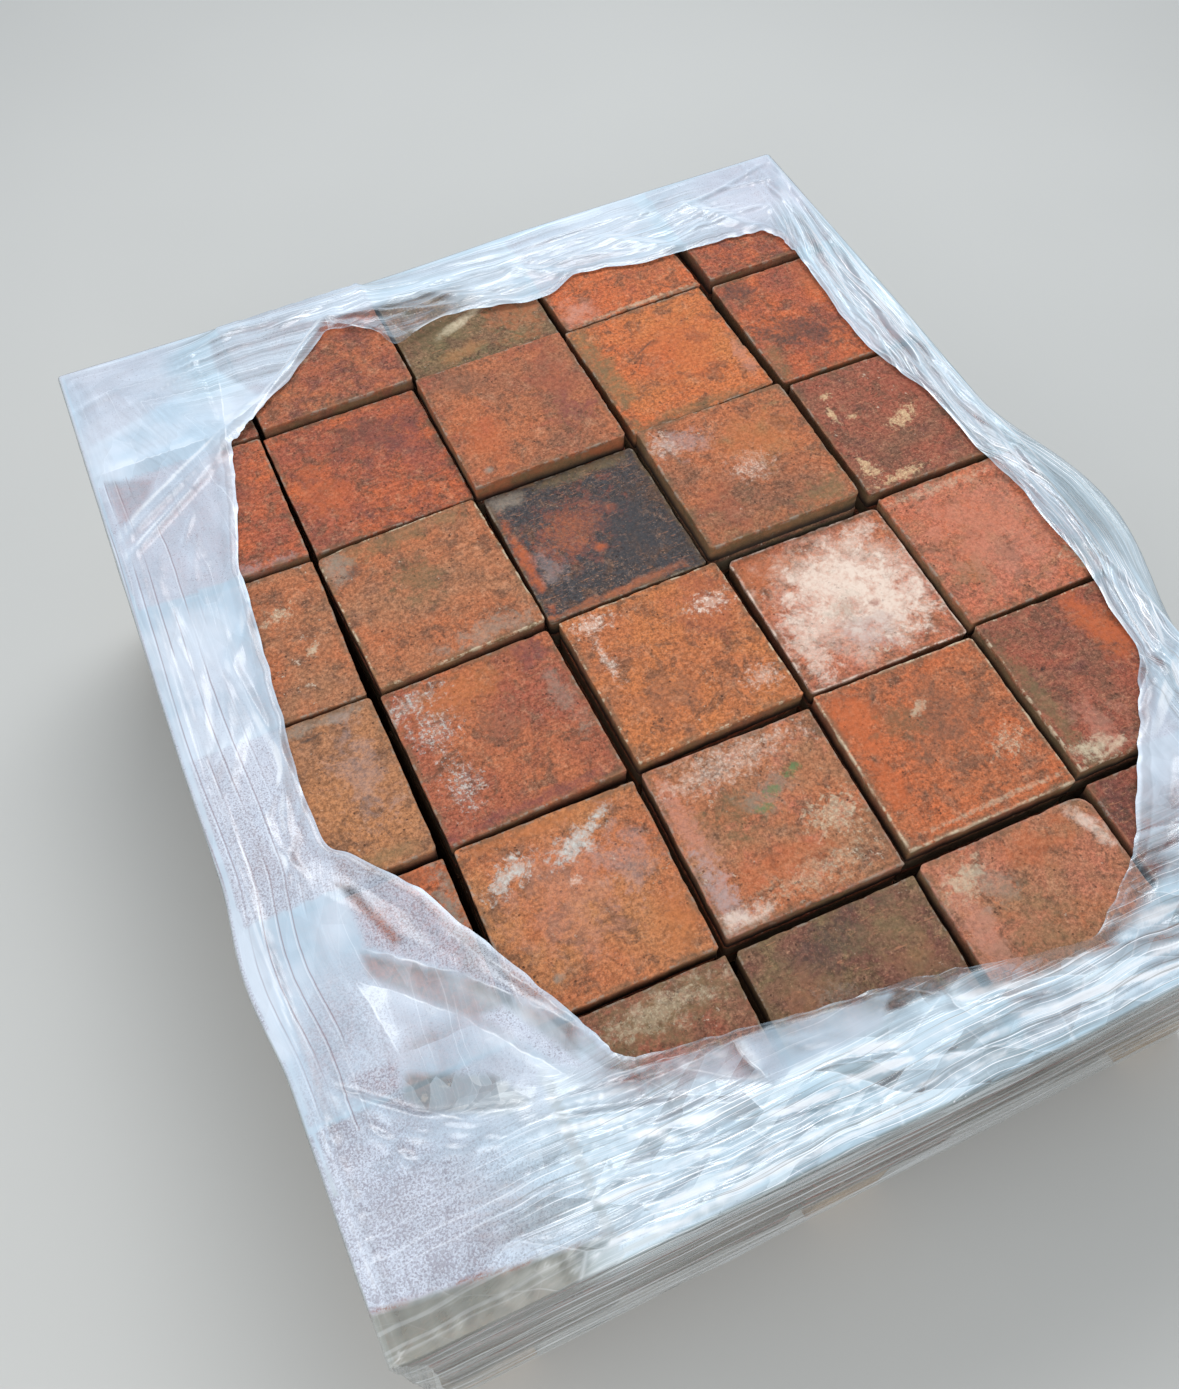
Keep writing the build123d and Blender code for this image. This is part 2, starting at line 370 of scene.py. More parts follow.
def tile_clay(name, centre, turn, recipe):
    """The finish of one tile, laid out from the tile's own middle."""
    material, tree, shader = new_material(name)
    place = add_node(
        tree,
        "ShaderNodeMapping",
        {"Vector": object_place(tree), "Location": centre, "Rotation": (0, 0, turn)},
        vector_type="TEXTURE",
    ).outputs[0]
    shifted = scaled(tree, place, (1, 1, 1), 0.0, (7.3 * centre[0], 5.1 * centre[1], 3.0))
    clay = add_node(
        tree,
        "ShaderNodeGroup",
        node_tree=fired_clay,
    )
    tree.links.new(shifted, clay.inputs["Place"])
    clay.inputs["Body"].default_value = CLAY[recipe["body"]]
    clay.inputs["Bloom"].default_value = CLAY[recipe["bloom"]]
    clay.inputs["Stain"].default_value = CLAY[recipe.get("stain", "deep")]
    clay.inputs["Bloom cover"].default_value = recipe.get("bloom_cover", 0.5)
    clay.inputs["Stain cover"].default_value = recipe.get("stain_cover", 0.42)
    clay.inputs["Lime cover"].default_value = recipe.get("lime", 0.35)
    clay.inputs["Mottle size"].default_value = recipe.get("mottle", 13.0)
    colour = clay.outputs["Colour"]
    for values in recipe.get("patches", ()):
        made = add_node(tree, "ShaderNodeGroup", node_tree=ragged_patch)
        tree.links.new(colour, made.inputs["Under"])
        tree.links.new(place, made.inputs["Place"])
        for socket, value in values.items():
            made.inputs[socket].default_value = value
        colour = made.outputs["Colour"]

    rim = attribute(tree, "rim")
    grubby = between(tree, noise(tree, shifted, 30.0, 6.0, 0.7), 0.44, 0.58, 0.0, 0.6)
    grubby = maths(tree, "MULTIPLY", between(tree, rim, 0.1, 0.5), grubby)
    colour = blend(tree, grubby, colour, tone(108, 84, 62))
    worn = noise(tree, shifted, 55.0, 6.0, 0.7)
    worn = between(tree, worn, 0.42, 0.62, 0.1, 1.0)
    wear = maths(tree, "MULTIPLY", between(tree, rim, 0.35, 1.0, 0.0, 0.6), worn)
    colour = blend(tree, wear, colour, CLAY[recipe.get("edge", "tan")])
    crumbled = noise(tree, shifted, 52.0, 7.0, 0.75)
    lip = maths(
        tree, "MULTIPLY", between(tree, rim, 0.50, 0.75), between(tree, crumbled, 0.50, 0.58, 0.0, 0.7)
    )
    colour = blend(tree, lip, colour, CLAY[recipe.get("lip", "grey")])
    side = attribute(tree, "side")
    side_colour = blend(
        tree,
        between(tree, noise(tree, shifted, 26.0, 5.0), 0.4, 0.62),
        CLAY[recipe.get("side", "brown")],
        CLAY["khaki"],
    )
    side_colour = blend(tree, 0.35, side_colour, colour)
    colour = blend(tree, between(tree, side, 0.1, 0.9), colour, side_colour)
    # Towards the foot of each side the colour goes near black: painted shade in the joint under the
    # tile.
    side_foot_painted_shade = between(tree, side, 0.75, 1.45, 0.0, 0.9)
    colour = blend(tree, side_foot_painted_shade, colour, CLAY["soot"])
    tree.links.new(colour, shader.inputs["Base Color"])
    tree.links.new(clay.outputs["Roughness"], shader.inputs["Roughness"])
    tree.links.new(bump(tree, clay.outputs["Height"], 0.0011), shader.inputs["Normal"])
    shader.inputs["Specular IOR Level"].default_value = 0.35
    return material


# The thirty tiles on top, by row and column. Corners are rounding in millimetres at the near left,
# near right, far right and far left. Chips and dents are x, y, radius and depth.
TOP_TILES = {
    (1, 1): dict(body="red", bloom="brown", stain="deep", lime=0.6),
    (1, 2): dict(
        body="red",
        bloom="orange",
        stain="deep",
        stain_cover=0.5,
        lime=0.45,
        patches=[
            patch("cream", -28, 6, 46, 34, 0.6, 0, 1.6, 90, 0.4),
            patch("khaki", -60, -20, 50, 40, 0.5),
            patch("bright", 30, 40, 70, 50, 0.5),
        ],
    ),
    (1, 3): dict(
        body="khaki",
        bloom="brown",
        stain="olive",
        stain_cover=0.46,
        lime=0.5,
        edge="olive",
        side="olive",
        patches=[
            patch("orange", 62, -6, 80, 150, 0.6, 0, 1.6),
            patch("olive", -44, -20, 90, 60, 0.6, 20, 1.4),
            patch("cream", -6, -16, 84, 16, 0.8, 24, 0.8),
            patch("ochre", -30, -70, 70, 24, 0.5, 10),
        ],
    ),
    (1, 4): dict(
        body="orange",
        bloom="bright",
        stain="red",
        lime=0.3,
        patches=[
            patch("pink", -72, -70, 50, 50, 0.85),
            patch("bright", 50, 20, 90, 80, 0.5),
            patch("cream", 10, -92, 150, 6, 0.6, 0, 1.6, 110),
        ],
    ),
    (1, 5): dict(body="bright", bloom="red", stain="deep", stain_cover=0.5, lime=0.3),
    (2, 1): dict(
        body="bright",
        bloom="red",
        stain="deep",
        stain_cover=0.4,
        lime=0.2,
        patches=[
            patch("lilac", 0, -90, 200, 22, 0.6, -4, 1.4, 70, 0.3),
            patch("deep", 40, 30, 50, 70, 0.5),
        ],
    ),
    (2, 2): dict(
        body="bright",
        bloom="red",
        stain="deep",
        bloom_cover=0.52,
        stain_cover=0.48,
        mottle=12.0,
        lime=0.2,
        edge="brown",
        patches=[
            patch("deep", 20, 50, 120, 60, 0.6, -10, 1.6),
            patch("plum", 62, 10, 60, 90, 0.4, 0, 1.6),
            patch("bright", -60, -10, 60, 110, 0.5, 0, 1.6),
        ],
    ),
    (2, 3): dict(
        body="orange",
        bloom="brown",
        stain="red",
        bloom_cover=0.46,
        stain_cover=0.42,
        mottle=8.0,
        lime=0.25,
        side="orange",
        edge="orange",
        patches=[
            patch("red", 62, 20, 70, 150, 0.5, 0, 1.5),
            patch("plum", 60, -30, 50, 50, 0.45, 0, 1.8),
            patch("grey", -72, -78, 14, 12, 0.9, 0, 0.6),
            patch("charcoal", -48, -84, 14, 12, 0.6, 0, 0.6),
            patch("bright", -60, -30, 60, 110, 0.45),
            patch("brown", -50, 70, 70, 40, 0.5, 0, 1.4),
        ],
    ),
    (2, 4): dict(
        body="amber",
        bloom="bright",
        stain="brown",
        stain_cover=0.4,
        mottle=8.0,
        lime=0.25,
        edge="olive",
        patches=[
            patch("khaki", -84, 10, 40, 180, 0.8, 0, 1.1),
            patch("khaki", -10, -88, 180, 18, 0.5),
            patch("bright", 24, 10, 120, 130, 0.5),
            patch("pink", 86, -40, 20, 100, 0.5, 0, 1.4),
            patch("charcoal", -20, 28, 46, 3, 0.7, 28, 0.2),
            patch("charcoal", -34, 8, 34, 2.5, 0.6, 52, 0.2),
        ],
    ),
    (2, 5): dict(
        body="red",
        bloom="bright",
        stain="deep",
        stain_cover=0.42,
        lime=0.35,
        side="olive",
        patches=[
            patch("charcoal", -66, 76, 60, 40, 0.75, 0, 1.3),
            patch("charcoal", -36, -20, 120, 60, 0.7, -30, 1.4),
            patch("khaki", -84, -60, 26, 80, 0.6),
            patch("cream", 44, 60, 30, 5, 0.8, 20, 0.9),
            patch("orange", 50, 60, 80, 60, 0.5),
        ],
    ),
    (3, 1): dict(
        body="orange",
        bloom="tan",
        stain="brown",
        lime=0.55,
        patches=[
            patch("cream", 40, 40, 34, 18, 0.8, 10, 2.0, 110, 0.6),
            patch("cream", 62, -20, 14, 12, 0.7, 0, 1.8, 110),
        ],
    ),
    (3, 2): dict(
        body="orange",
        lip="cream",
        bloom="tan",
        stain="brown",
        bloom_cover=0.46,
        stain_cover=0.42,
        mottle=9.0,
        lime=0.4,
        edge="khaki",
        corners=(4, 4, 5, 9),
        chips=[(-88, 88, 18, 5), (20, 97, 8, 2)],
        dents=[(-62, 62, 15, 2.5), (-10, 40, 7, 2)],
        patches=[
            patch("khaki", -10, 84, 170, 34, 0.55, 0, 1.4),
            patch("grey", -82, 74, 40, 50, 0.7, 0, 1.2),
            patch("olive", -6, 20, 54, 60, 0.6, 0, 1.8, 70),
            patch("grey", 40, -82, 120, 30, 0.55, 0, 1.5, 70),
            patch("charcoal", -64, 62, 24, 16, 0.6, 30, 0.8),
        ],
    ),
    (3, 3): dict(
        body="slate",
        bloom="charcoal",
        stain="deep",
        bloom_cover=0.4,
        stain_cover=0.3,
        mottle=10.0,
        lime=0.25,
        edge="khaki",
        corners=(4, 4, 6, 6),
        chips=[(-60, 97, 9, 3), (40, 96, 7, 3)],
        patches=[
            patch("grey", -74, 84, 60, 26, 0.7),
            patch("khaki", 20, 88, 150, 22, 0.55),
            patch("red", -20, 14, 120, 80, 0.65, 30, 2.0, 50, 0.35),
            patch("orange", -26, 10, 80, 50, 0.6, 20, 2.2, 80, 0.5),
            patch("bright", 0, -24, 16, 14, 0.8, 0, 1.2),
            patch("bright", 34, 24, 14, 12, 0.55, 0, 1.4),
            patch("bright", -88, -10, 18, 130, 0.75, 0, 1.2),
            patch("orange", 0, -90, 180, 14, 0.75, 3, 1.3),
            patch("lilac", -66, -30, 30, 60, 0.35, 0, 1.8),
            patch("slate", 46, -20, 90, 110, 0.75, 10, 1.5),
        ],
    ),
    (3, 4): dict(
        body="orange",
        bloom="brown",
        stain="khaki",
        bloom_cover=0.44,
        stain_cover=0.4,
        mottle=9.0,
        lime=0.44,
        edge="khaki",
        side="olive",
        corners=(4, 8, 5, 4),
        patches=[
            patch("wash", -76, 64, 34, 34, 0.6, 0, 2.0, 110, 0.5),
            patch("lilac", -50, 60, 60, 40, 0.45, 0, 1.8),
            patch("wash", 4, -6, 50, 40, 0.6, 0, 2.0, 110, 0.7),
            patch("khaki", 66, -76, 70, 44, 0.65, 0, 1.4),
            patch("amber", 30, 30, 100, 90, 0.45),
            patch("red", -60, -50, 60, 80, 0.4, 0, 1.5),
        ],
    ),
    (3, 5): dict(
        body="red",
        bloom="brown",
        stain="deep",
        bloom_cover=0.45,
        lime=0.5,
        mottle=12.0,
        patches=[
            patch("pale_straw", 4, -6, 40, 18, 0.9, 24, 2.2, 110, 0.35),
            patch("pale_straw", -66, 62, 14, 10, 0.8, 0, 2.4, 130, 0.3),
            patch("pale_straw", -74, 30, 10, 22, 0.8, 0, 2.6, 130, 0.3),
            patch("pale_straw", -52, 20, 12, 8, 0.7, 0, 2.6, 130, 0.3),
            patch("pale_straw", -78, -58, 18, 34, 0.85, 10, 2.4, 120, 0.4),
            patch("pale_straw", -44, -86, 60, 12, 0.85, 6, 2.4, 120, 0.4),
            patch("red", 50, 50, 80, 60, 0.4),
        ],
    ),
    (4, 1): dict(
        body="ochre",
        bloom="tan",
        stain="brown",
        stain_cover=0.36,
        mottle=8.0,
        lime=0.3,
        corners=(4, 5, 6, 4),
        dents=[(26, 76, 6, 2)],
        patches=[
            patch("grey", 20, 88, 140, 16, 0.6, 0, 1.4),
            patch("charcoal", 24, 74, 32, 4, 0.8, 8, 0.3),
            patch("amber", -40, -30, 80, 110, 0.5),
            patch("khaki", 50, -84, 90, 18, 0.5),
            patch("lilac", 60, 10, 50, 120, 0.3, 0, 1.6),
        ],
    ),
    (4, 2): dict(
        body="orange",
        bloom="red",
        stain="deep",
        bloom_cover=0.5,
        stain_cover=0.42,
        mottle=9.0,
        lime=0.3,
        patches=[
            patch("chalk", -74, 72, 60, 24, 0.8, 10, 2.2, 110, 0.7),
            patch("chalk", -62, 34, 44, 50, 0.7, 0, 2.2, 110, 0.85),
            patch("chalk", -60, -40, 34, 50, 0.7, 0, 2.2, 110, 0.85),
            patch("amber", -20, 66, 130, 50, 0.5, 10, 1.4),
            patch("plum", 70, 76, 40, 40, 0.6, 0, 1.5),
            patch("plum", 4, -88, 180, 16, 0.6, 0, 1.3),
            patch("grey", 78, 10, 28, 90, 0.45, 0, 1.6),
            patch("brown", 0, 10, 60, 50, 0.5, 0, 1.8),
        ],
    ),
    (4, 3): dict(
        body="amber",
        lip="cream",
        bloom="orange",
        stain="brown",
        bloom_cover=0.46,
        stain_cover=0.42,
        lime=0.4,
        mottle=8.0,
        edge="tan",
        chips=[(60, 97, 8, 3), (97, 20, 7, 3), (-30, 97, 6, 2)],
        patches=[
            patch("brown", -30, -40, 60, 50, 0.45, 0, 1.8),
            patch("red", 60, 50, 70, 90, 0.45, 0, 1.6),
            patch("wash", -66, 80, 40, 22, 0.85, 0, 2.0, 120, 0.5),
            patch("wash", 64, 50, 44, 24, 0.9, 0, 2.0, 130, 0.6),
            patch("wash", -70, 30, 12, 60, 0.7, 0, 2.0, 130, 0.6),
            patch("wash", 70, -60, 40, 24, 0.6, 0, 2.0, 130, 0.6),
        ],
    ),
    (4, 4): dict(
        body="salmon",
        lip="wash",
        bloom="orange",
        stain="red",
        bloom_cover=0.5,
        stain_cover=0.4,
        mottle=11.0,
        lime=0.55,
        edge="wash",
        corners=(5, 4, 4, 7),
        chips=[(-92, 60, 8, 3), (0, 97, 8, 2)],
        patches=[
            patch("orange", -64, 70, 90, 50, 0.55, 0, 1.6),
            patch("pink", 10, 0, 150, 140, 0.7, 0, 1.6),
            patch("wash", 10, 2, 190, 170, 0.62, 0, 0.9, 26, 0.1),
            patch("wash", -10, 24, 110, 80, 0.95, 20, 1.8, 45, 0.15),
            patch("wash", 44, -20, 100, 100, 0.95, -20, 1.8, 45, 0.1),
            patch("wash", -70, -40, 40, 90, 0.7, 0, 1.8, 60, 0.3),
            patch("wash", 60, 74, 50, 26, 0.7, 0, 1.6, 60, 0.3),
            patch("lilac", 0, -50, 70, 50, 0.4, 0, 1.8),
            patch("red", 26, -20, 14, 10, 0.6, 0, 1.4),
            patch("olive", -4, -14, 40, 30, 0.3, 0, 1.8),
        ],
    ),
    (4, 5): dict(
        body="salmon",
        bloom="bright",
        stain="tan",
        bloom_cover=0.42,
        stain_cover=0.44,
        lime=0.34,
        side="olive",
        edge="tan",
        patches=[
            patch("khaki", -60, -40, 50, 60, 0.5, 0, 1.6),
            patch("cream", 78, -70, 50, 36, 0.7, 0, 1.8, 80, 0.3),
            patch("khaki", 74, -60, 50, 50, 0.4, 0, 1.6),
            patch("cream", -30, 84, 130, 14, 0.5, 0, 1.8, 100, 0.5),
            patch("bright", -20, 20, 110, 110, 0.35),
            patch("pink", 0, 10, 160, 150, 0.4, 0, 1.6),
        ],
    ),
    (5, 1): dict(
        body="bright",
        bloom="orange",
        stain="deep",
        stain_cover=0.38,
        lime=0.3,
        patches=[
            patch("grey", 86, 0, 22, 200, 0.85, 0, 1.4, 90),
            patch("brown", 40, 86, 120, 18, 0.5),
        ],
    ),
    (5, 2): dict(
        body="orange",
        bloom="ochre",
        stain="brown",
        bloom_cover=0.5,
        stain_cover=0.36,
        mottle=9.0,
        lime=0.4,
        chips=[(97, -20, 6, 2)],
        patches=[
            patch("amber", 74, -56, 50, 80, 0.6, 0, 1.4),
            patch("amber", -10, 88, 160, 20, 0.6, 0, 1.4),
            patch("pink", -10, 10, 120, 120, 0.35, 0, 1.6),
            patch("lilac", 60, 20, 60, 80, 0.3, 0, 1.8),
            patch("chalk", 16, 56, 64, 22, 0.95, 24, 1.8, 80, 0.25),
            patch("chalk", 52, 78, 26, 10, 0.9, 20, 1.5, 120, 0.3),
            patch("chalk", -58, 50, 54, 24, 0.9, 22, 2.0, 80, 0.35),
            patch("wash", 0, 20, 14, 10, 0.7, 0, 1.8, 130, 0.5),
            patch("grey", -52, -64, 12, 10, 0.7, 0, 0.8),
        ],
    ),
    (5, 3): dict(
        body="tan",
        bloom="orange",
        stain="salmon",
        bloom_cover=0.5,
        stain_cover=0.42,
        mottle=12.0,
        lime=0.56,
        edge="pink",
        patches=[
            patch("pink", -80, 10, 30, 160, 0.6, 4, 1.4, 90),
            patch("lilac", -82, -56, 30, 90, 0.7, 4, 1.5, 90),
            patch("wash", -72, -82, 50, 26, 0.7, -10, 1.6),
            patch("wash", -10, 74, 150, 40, 0.55, 6, 2.0, 80, 0.6),
            patch("cream", 60, -20, 60, 40, 0.75, 0, 2.0, 110, 0.5),
            patch("cream", 20, -70, 110, 30, 0.5, 4, 2.0, 110, 0.6),
            patch("olive", -30, 16, 70, 44, 0.6, 10, 1.8),
            patch("grey", 6, 24, 60, 30, 0.5, 10, 1.8),
            patch("moss", 46, 40, 20, 12, 0.85, 18, 1.6, 130),
            patch("moss", 16, 26, 20, 12, 0.7, 10, 1.6, 130),
            patch("moss", 0, 12, 18, 10, 0.75, 0, 1.6, 130),
            patch("bright", -10, -50, 120, 40, 0.4, 0, 1.6),
        ],
    ),
    (5, 4): dict(
        body="orange",
        lip="cream",
        bloom="bright",
        stain="brown",
        bloom_cover=0.46,
        stain_cover=0.46,
        mottle=11.0,
        lime=0.34,
        edge="cream",
        chips=[(97, 30, 6, 2), (-30, -97, 6, 2)],
        patches=[
            patch("bright", -70, 50, 60, 90, 0.7, 0, 1.5),
            patch("bright", -76, -30, 30, 90, 0.6, 0, 1.5),
            patch("brown", 10, 20, 110, 110, 0.5, 0, 1.7),
            patch("olive", -30, 30, 50, 50, 0.4, 0, 1.8),
            patch("cream", 10, -84, 170, 6, 0.5, 1, 1.6, 120, 0.3),
            patch("cream", 60, -30, 40, 30, 0.6, 20, 2.0, 110, 0.7),
            patch("cream", -4, 40, 26, 10, 0.6, 30, 1.6, 110),
        ],
    ),
    (5, 5): dict(
        body="red",
        lip="cream",
        bloom="brown",
        stain="deep",
        bloom_cover=0.44,
        lime=0.3,
        side="olive",
        edge="tan",
        chips=[(-40, -97, 12, 6), (20, -97, 10, 5)],
        patches=[
            patch("bright", 30, 40, 50, 130, 0.75, 20, 1.4),
            patch("khaki", -84, -20, 24, 180, 0.6, 2, 1.5, 80),
            patch("cream", -66, -80, 60, 22, 0.85, -4, 1.4, 80),
            patch("pink", -50, -60, 50, 60, 0.45, 0, 1.8),
            patch("cream", 20, -90, 120, 12, 0.6, -4, 1.3),
            patch("soot", -62, 22, 8, 5, 0.9, 30, 0.3),
        ],
    ),
    (6, 1): dict(body="red", bloom="deep", stain="brown", stain_cover=0.5, lime=0.7),
    (6, 2): dict(
        body="red",
        bloom="brown",
        stain="khaki",
        bloom_cover=0.5,
        stain_cover=0.42,
        lime=0.45,
        edge="khaki",
        patches=[
            patch("khaki", 0, 66, 190, 56, 0.6, 4, 1.5),
            patch("cream", 20, 74, 120, 30, 0.55, 4, 2.0, 70, 0.5),
            patch("bright", 40, -10, 90, 50, 0.5),
            patch("moss", -60, 66, 20, 14, 0.7, 20, 1.4, 110),
        ],
    ),
    (6, 3): dict(
        body="brown",
        bloom="deep",
        stain="khaki",
        bloom_cover=0.5,
        stain_cover=0.5,
        mottle=12.0,
        lime=0.4,
        edge="khaki",
        side="olive",
        patches=[
            patch("charcoal", -20, 66, 120, 50, 0.55, 14, 1.8),
            patch("charcoal", 30, -10, 100, 50, 0.5, 20, 1.8),
            patch("khaki", 50, 60, 90, 40, 0.4, 0, 1.8),
            patch("tan", -60, 30, 60, 70, 0.45, 0, 1.8),
            patch("grey", -30, 20, 40, 26, 0.5, 0, 2.0, 80, 0.5),
            patch("tan", 60, 20, 60, 40, 0.4, 0, 1.8),
        ],
    ),
    (6, 4): dict(
        body="tan",
        bloom="salmon",
        stain="orange",
        bloom_cover=0.46,
        stain_cover=0.42,
        mottle=11.0,
        lime=0.4,
        edge="pink",
        corners=(5, 5, 16, 6),
        patches=[
            patch("bright", 20, 70, 90, 40, 0.45, 0, 1.5),
            patch("khaki", -30, -10, 90, 110, 0.4, 0, 1.7),
            patch("pink", -76, 10, 40, 120, 0.6, 0, 1.6),
            patch("cream", -64, 66, 50, 30, 0.75, 30, 1.8, 80, 0.3),
            patch("grey", -40, 50, 40, 50, 0.45, 0, 1.8),
            patch("wash", 84, 60, 18, 60, 0.65, 20, 1.2),
        ],
    ),
    (6, 5): dict(body="deep", bloom="red", stain="charcoal", lime=0.4),
}


# Tile shapes
def soft_noise(x, y, size, seed):
    """Smooth values from -1 to 1 that change over a distance of size."""
    table = np.random.default_rng(seed).uniform(-1, 1, (64, 64))
    x, y = x / size, y / size
    left, low = np.floor(x).astype(int), np.floor(y).astype(int)
    across, up = x - left, y - low
    across = across * across * (3 - 2 * across)
    up = up * up * (3 - 2 * up)
    left, low = left % 64, low % 64
    right, high = (left + 1) % 64, (low + 1) % 64
    bottom = table[left, low] * (1 - across) + table[right, low] * across
    top = table[left, high] * (1 - across) + table[right, high] * across
    return bottom * (1 - up) + top * up


def mesh_piece(name, points, faces, material):
    mesh = bpy.data.meshes.new(name)
    mesh.from_pydata(np.asarray(points).tolist(), [], faces)
    mesh.polygons.foreach_set("use_smooth", [True] * len(mesh.polygons))
    mesh.materials.append(material)
    mesh.update()
    piece = bpy.data.objects.new(name, mesh)
    bpy.context.scene.collection.objects.link(piece)
    return piece


def store_values(mesh, name, values):
    made = mesh.attributes.new(name, "FLOAT", "POINT")
    made.data.foreach_set("value", np.asarray(values, np.float32))


def rounded_outline(x, y, half, corners):
    """Moves the points of a square in towards its rounded corners, given near left, near right,
    far right and far left."""
    near_left, near_right, far_right, far_left = corners
    left, near = x < 0, y < 0
    radius = np.where(
        near, np.where(left, near_left, near_right), np.where(left, far_left, far_right)
    )
    over_x = np.abs(x) - (half - radius)
    over_y = np.abs(y) - (half - radius)
    inside = (over_x > 0) & (over_y > 0)
    reach = np.maximum(over_x, over_y)
    length = np.maximum(np.hypot(over_x, over_y), 1e-9)
    pull = np.where(inside, reach / length, 1.0)
    new_x = np.where(inside, np.sign(x) * (half - radius + over_x * pull), x)
    new_y = np.where(inside, np.sign(y) * (half - radius + over_y * pull), y)
    return new_x, new_y


def worn_tile(steps, thickness, seed, corners, chips=(), dents=(), side_rows=6, relief=1.0):
    """Points, faces, rim and side values of a worn tile round its middle, its top at height 0.
    Lengths are in metres, and steps are how far the rows of points are from the edge."""
    half = TILE_SIDE / 2
    line = np.concatenate([-half + steps, (half - steps)[::-1]])
    count = len(line)
    x, y = np.meshgrid(line, line, indexing="ij")
    inset = half - np.maximum(np.abs(x), np.abs(y))
    arris = 0.7 + 0.4 * soft_noise(x + 1, y + 1, 0.022, seed)
    nibbled = soft_noise(x + 2, y + 2, 0.009, seed + 5) - 0.4
    arris = (arris + 5 * np.clip(nibbled, 0, None)) * MM
    for chip_x, chip_y, radius, depth in chips:
        away = ((x - chip_x * MM) ** 2 + (y - chip_y * MM) ** 2) / (radius * MM) ** 2
        arris = arris + depth * MM * np.exp(-away)
    short = np.clip(arris - inset, 0, None)
    drop = arris - np.sqrt(np.clip(arris**2 - short**2, 0, None))
    height = relief * (
        0.6 * soft_noise(x, y, 0.06, seed + 1) + 0.25 * soft_noise(x, y, 0.012, seed + 2) - 0.5
    )
    height = height * MM - drop
    for dent_x, dent_y, radius, depth in dents:
        away = ((x - dent_x * MM) ** 2 + (y - dent_y * MM) ** 2) / (radius * MM) ** 2
        height -= depth * MM * np.exp(-(away**2))
    fade = np.exp(-inset / (6 * MM))
    worn = 0.35 + 0.45 * soft_noise(x, y, 0.018, seed + 3) + 0.4 * soft_noise(x, y, 0.007, seed + 6)
    shrink = np.clip(worn, 0, None) * MM * fade
    plan_x, plan_y = rounded_outline(x, y, half, [radius * MM for radius in corners])
    scale = 1 - shrink / half
    points = [np.stack([plan_x * scale, plan_y * scale, height], -1).reshape(-1, 3)]
    rim = [np.exp(-inset / (5 * MM)).reshape(-1)]
    side = [np.zeros(count * count)]
    index = np.arange(count * count).reshape(count, count)
    faces = [
        (index[i, j], index[i + 1, j], index[i + 1, j + 1], index[i, j + 1])
        for i in range(count - 1)
        for j in range(count - 1)
    ]
    loop = np.concatenate([index[:-1, 0], index[-1, :-1], index[:0:-1, -1], index[0, :0:-1]])
    ring = points[0][loop]
    around = len(loop)
    total = count * count
    above = loop
    for row in range(1, side_rows + 1):
        part = row / side_rows
        level = ring.copy()
        level[:, 2] = ring[:, 2] * (1 - part) - thickness * part
        rough = 0.4 * soft_noise(ring[:, 0] * 3 + part, ring[:, 1] * 3 - part, 0.02, seed + 4)
        pull = 1 - (0.4 + rough) * relief * MM * sin(pi * part) / half
        level[:, :2] *= pull[:, None]
        points.append(level)
        rim.append(np.full(around, np.exp(-part * 3)))
        side.append(np.full(around, 0.6 + 0.4 * part + 0.6 * part**2))
        below = np.arange(total, total + around)
        turned = np.roll(below, -1)
        faces += list(zip(above, below, turned, np.roll(above, -1)))
        total += around
        above = below
    faces.append(tuple(above[::-1]))
    faces = [tuple(int(corner) for corner in face) for face in faces]
    return np.concatenate(points), faces, np.concatenate(rim), np.concatenate(side)


def plan_place(points):
    """Middle, turn, lowest and highest of an upright square block, from its corner points."""
    middle = (points[:, :2].min(0) + points[:, :2].max(0)) / 2
    away = points[:, :2] - middle
    far_right = away[np.argmax(away @ np.array([1.0, 1.0]))]
    turn = atan2(far_right[1], far_right[0]) - pi / 4
    return middle, turn, points[:, 2].min(), points[:, 2].max()


def node_points(name):
    mesh = frame["nodes"][name].data
    points = np.zeros(len(mesh.vertices) * 3, np.float32)
    mesh.vertices.foreach_get("co", points)
    return points.reshape(-1, 3).astype(float)


def top_tile_name(row, column):
    return f"top_tile_row{row}_column{column}"


# The broken tile keeps the far part of its side lengths, so its place comes from there.
BROKEN = (6, 1)
BROKEN_LEFT = 40 * MM
BROKEN_RIGHT = 16 * MM


def pile_places():
    """Where each pile's top tile is: middle, turn, underside and top."""
    places = {}
    for row in ROWS:
        for column in COLUMNS:
            points = node_points(top_tile_name(row, column))
            middle, turn, low, high = plan_place(points)
            if (row, column) == BROKEN:
                turn = radians(-0.5)
                far = points[:, 1].max()
                middle = np.array([middle[0], far - TILE_SIDE / 2])
            places[row, column] = (middle, turn, low, high)
    return places


PILES = pile_places()
EDGE_STEPS = np.array([0, 0.5, 1.2, 2.2, 3.8, 6.0]) * MM
FACE_STEPS = np.concatenate([EDGE_STEPS, np.arange(9.5, 97, 4.2) * MM])


def break_near_side(points, seed):
    """Draws the near side of the broken tile in to a jagged line."""
    half = TILE_SIDE / 2
    x, y = points[:, 0], points[:, 1]
    part = (x + half) / TILE_SIDE
    line = BROKEN_LEFT + (BROKEN_RIGHT - BROKEN_LEFT) * part
    line = line + 1.6 * MM * soft_noise(x, x * 0 + 2, 0.011, seed)
    line = line + 0.8 * MM * soft_noise(x, points[:, 2], 0.004, seed + 1)
    points[:, 1] = half - (half - y) * (TILE_SIDE - line) / TILE_SIDE
    return points


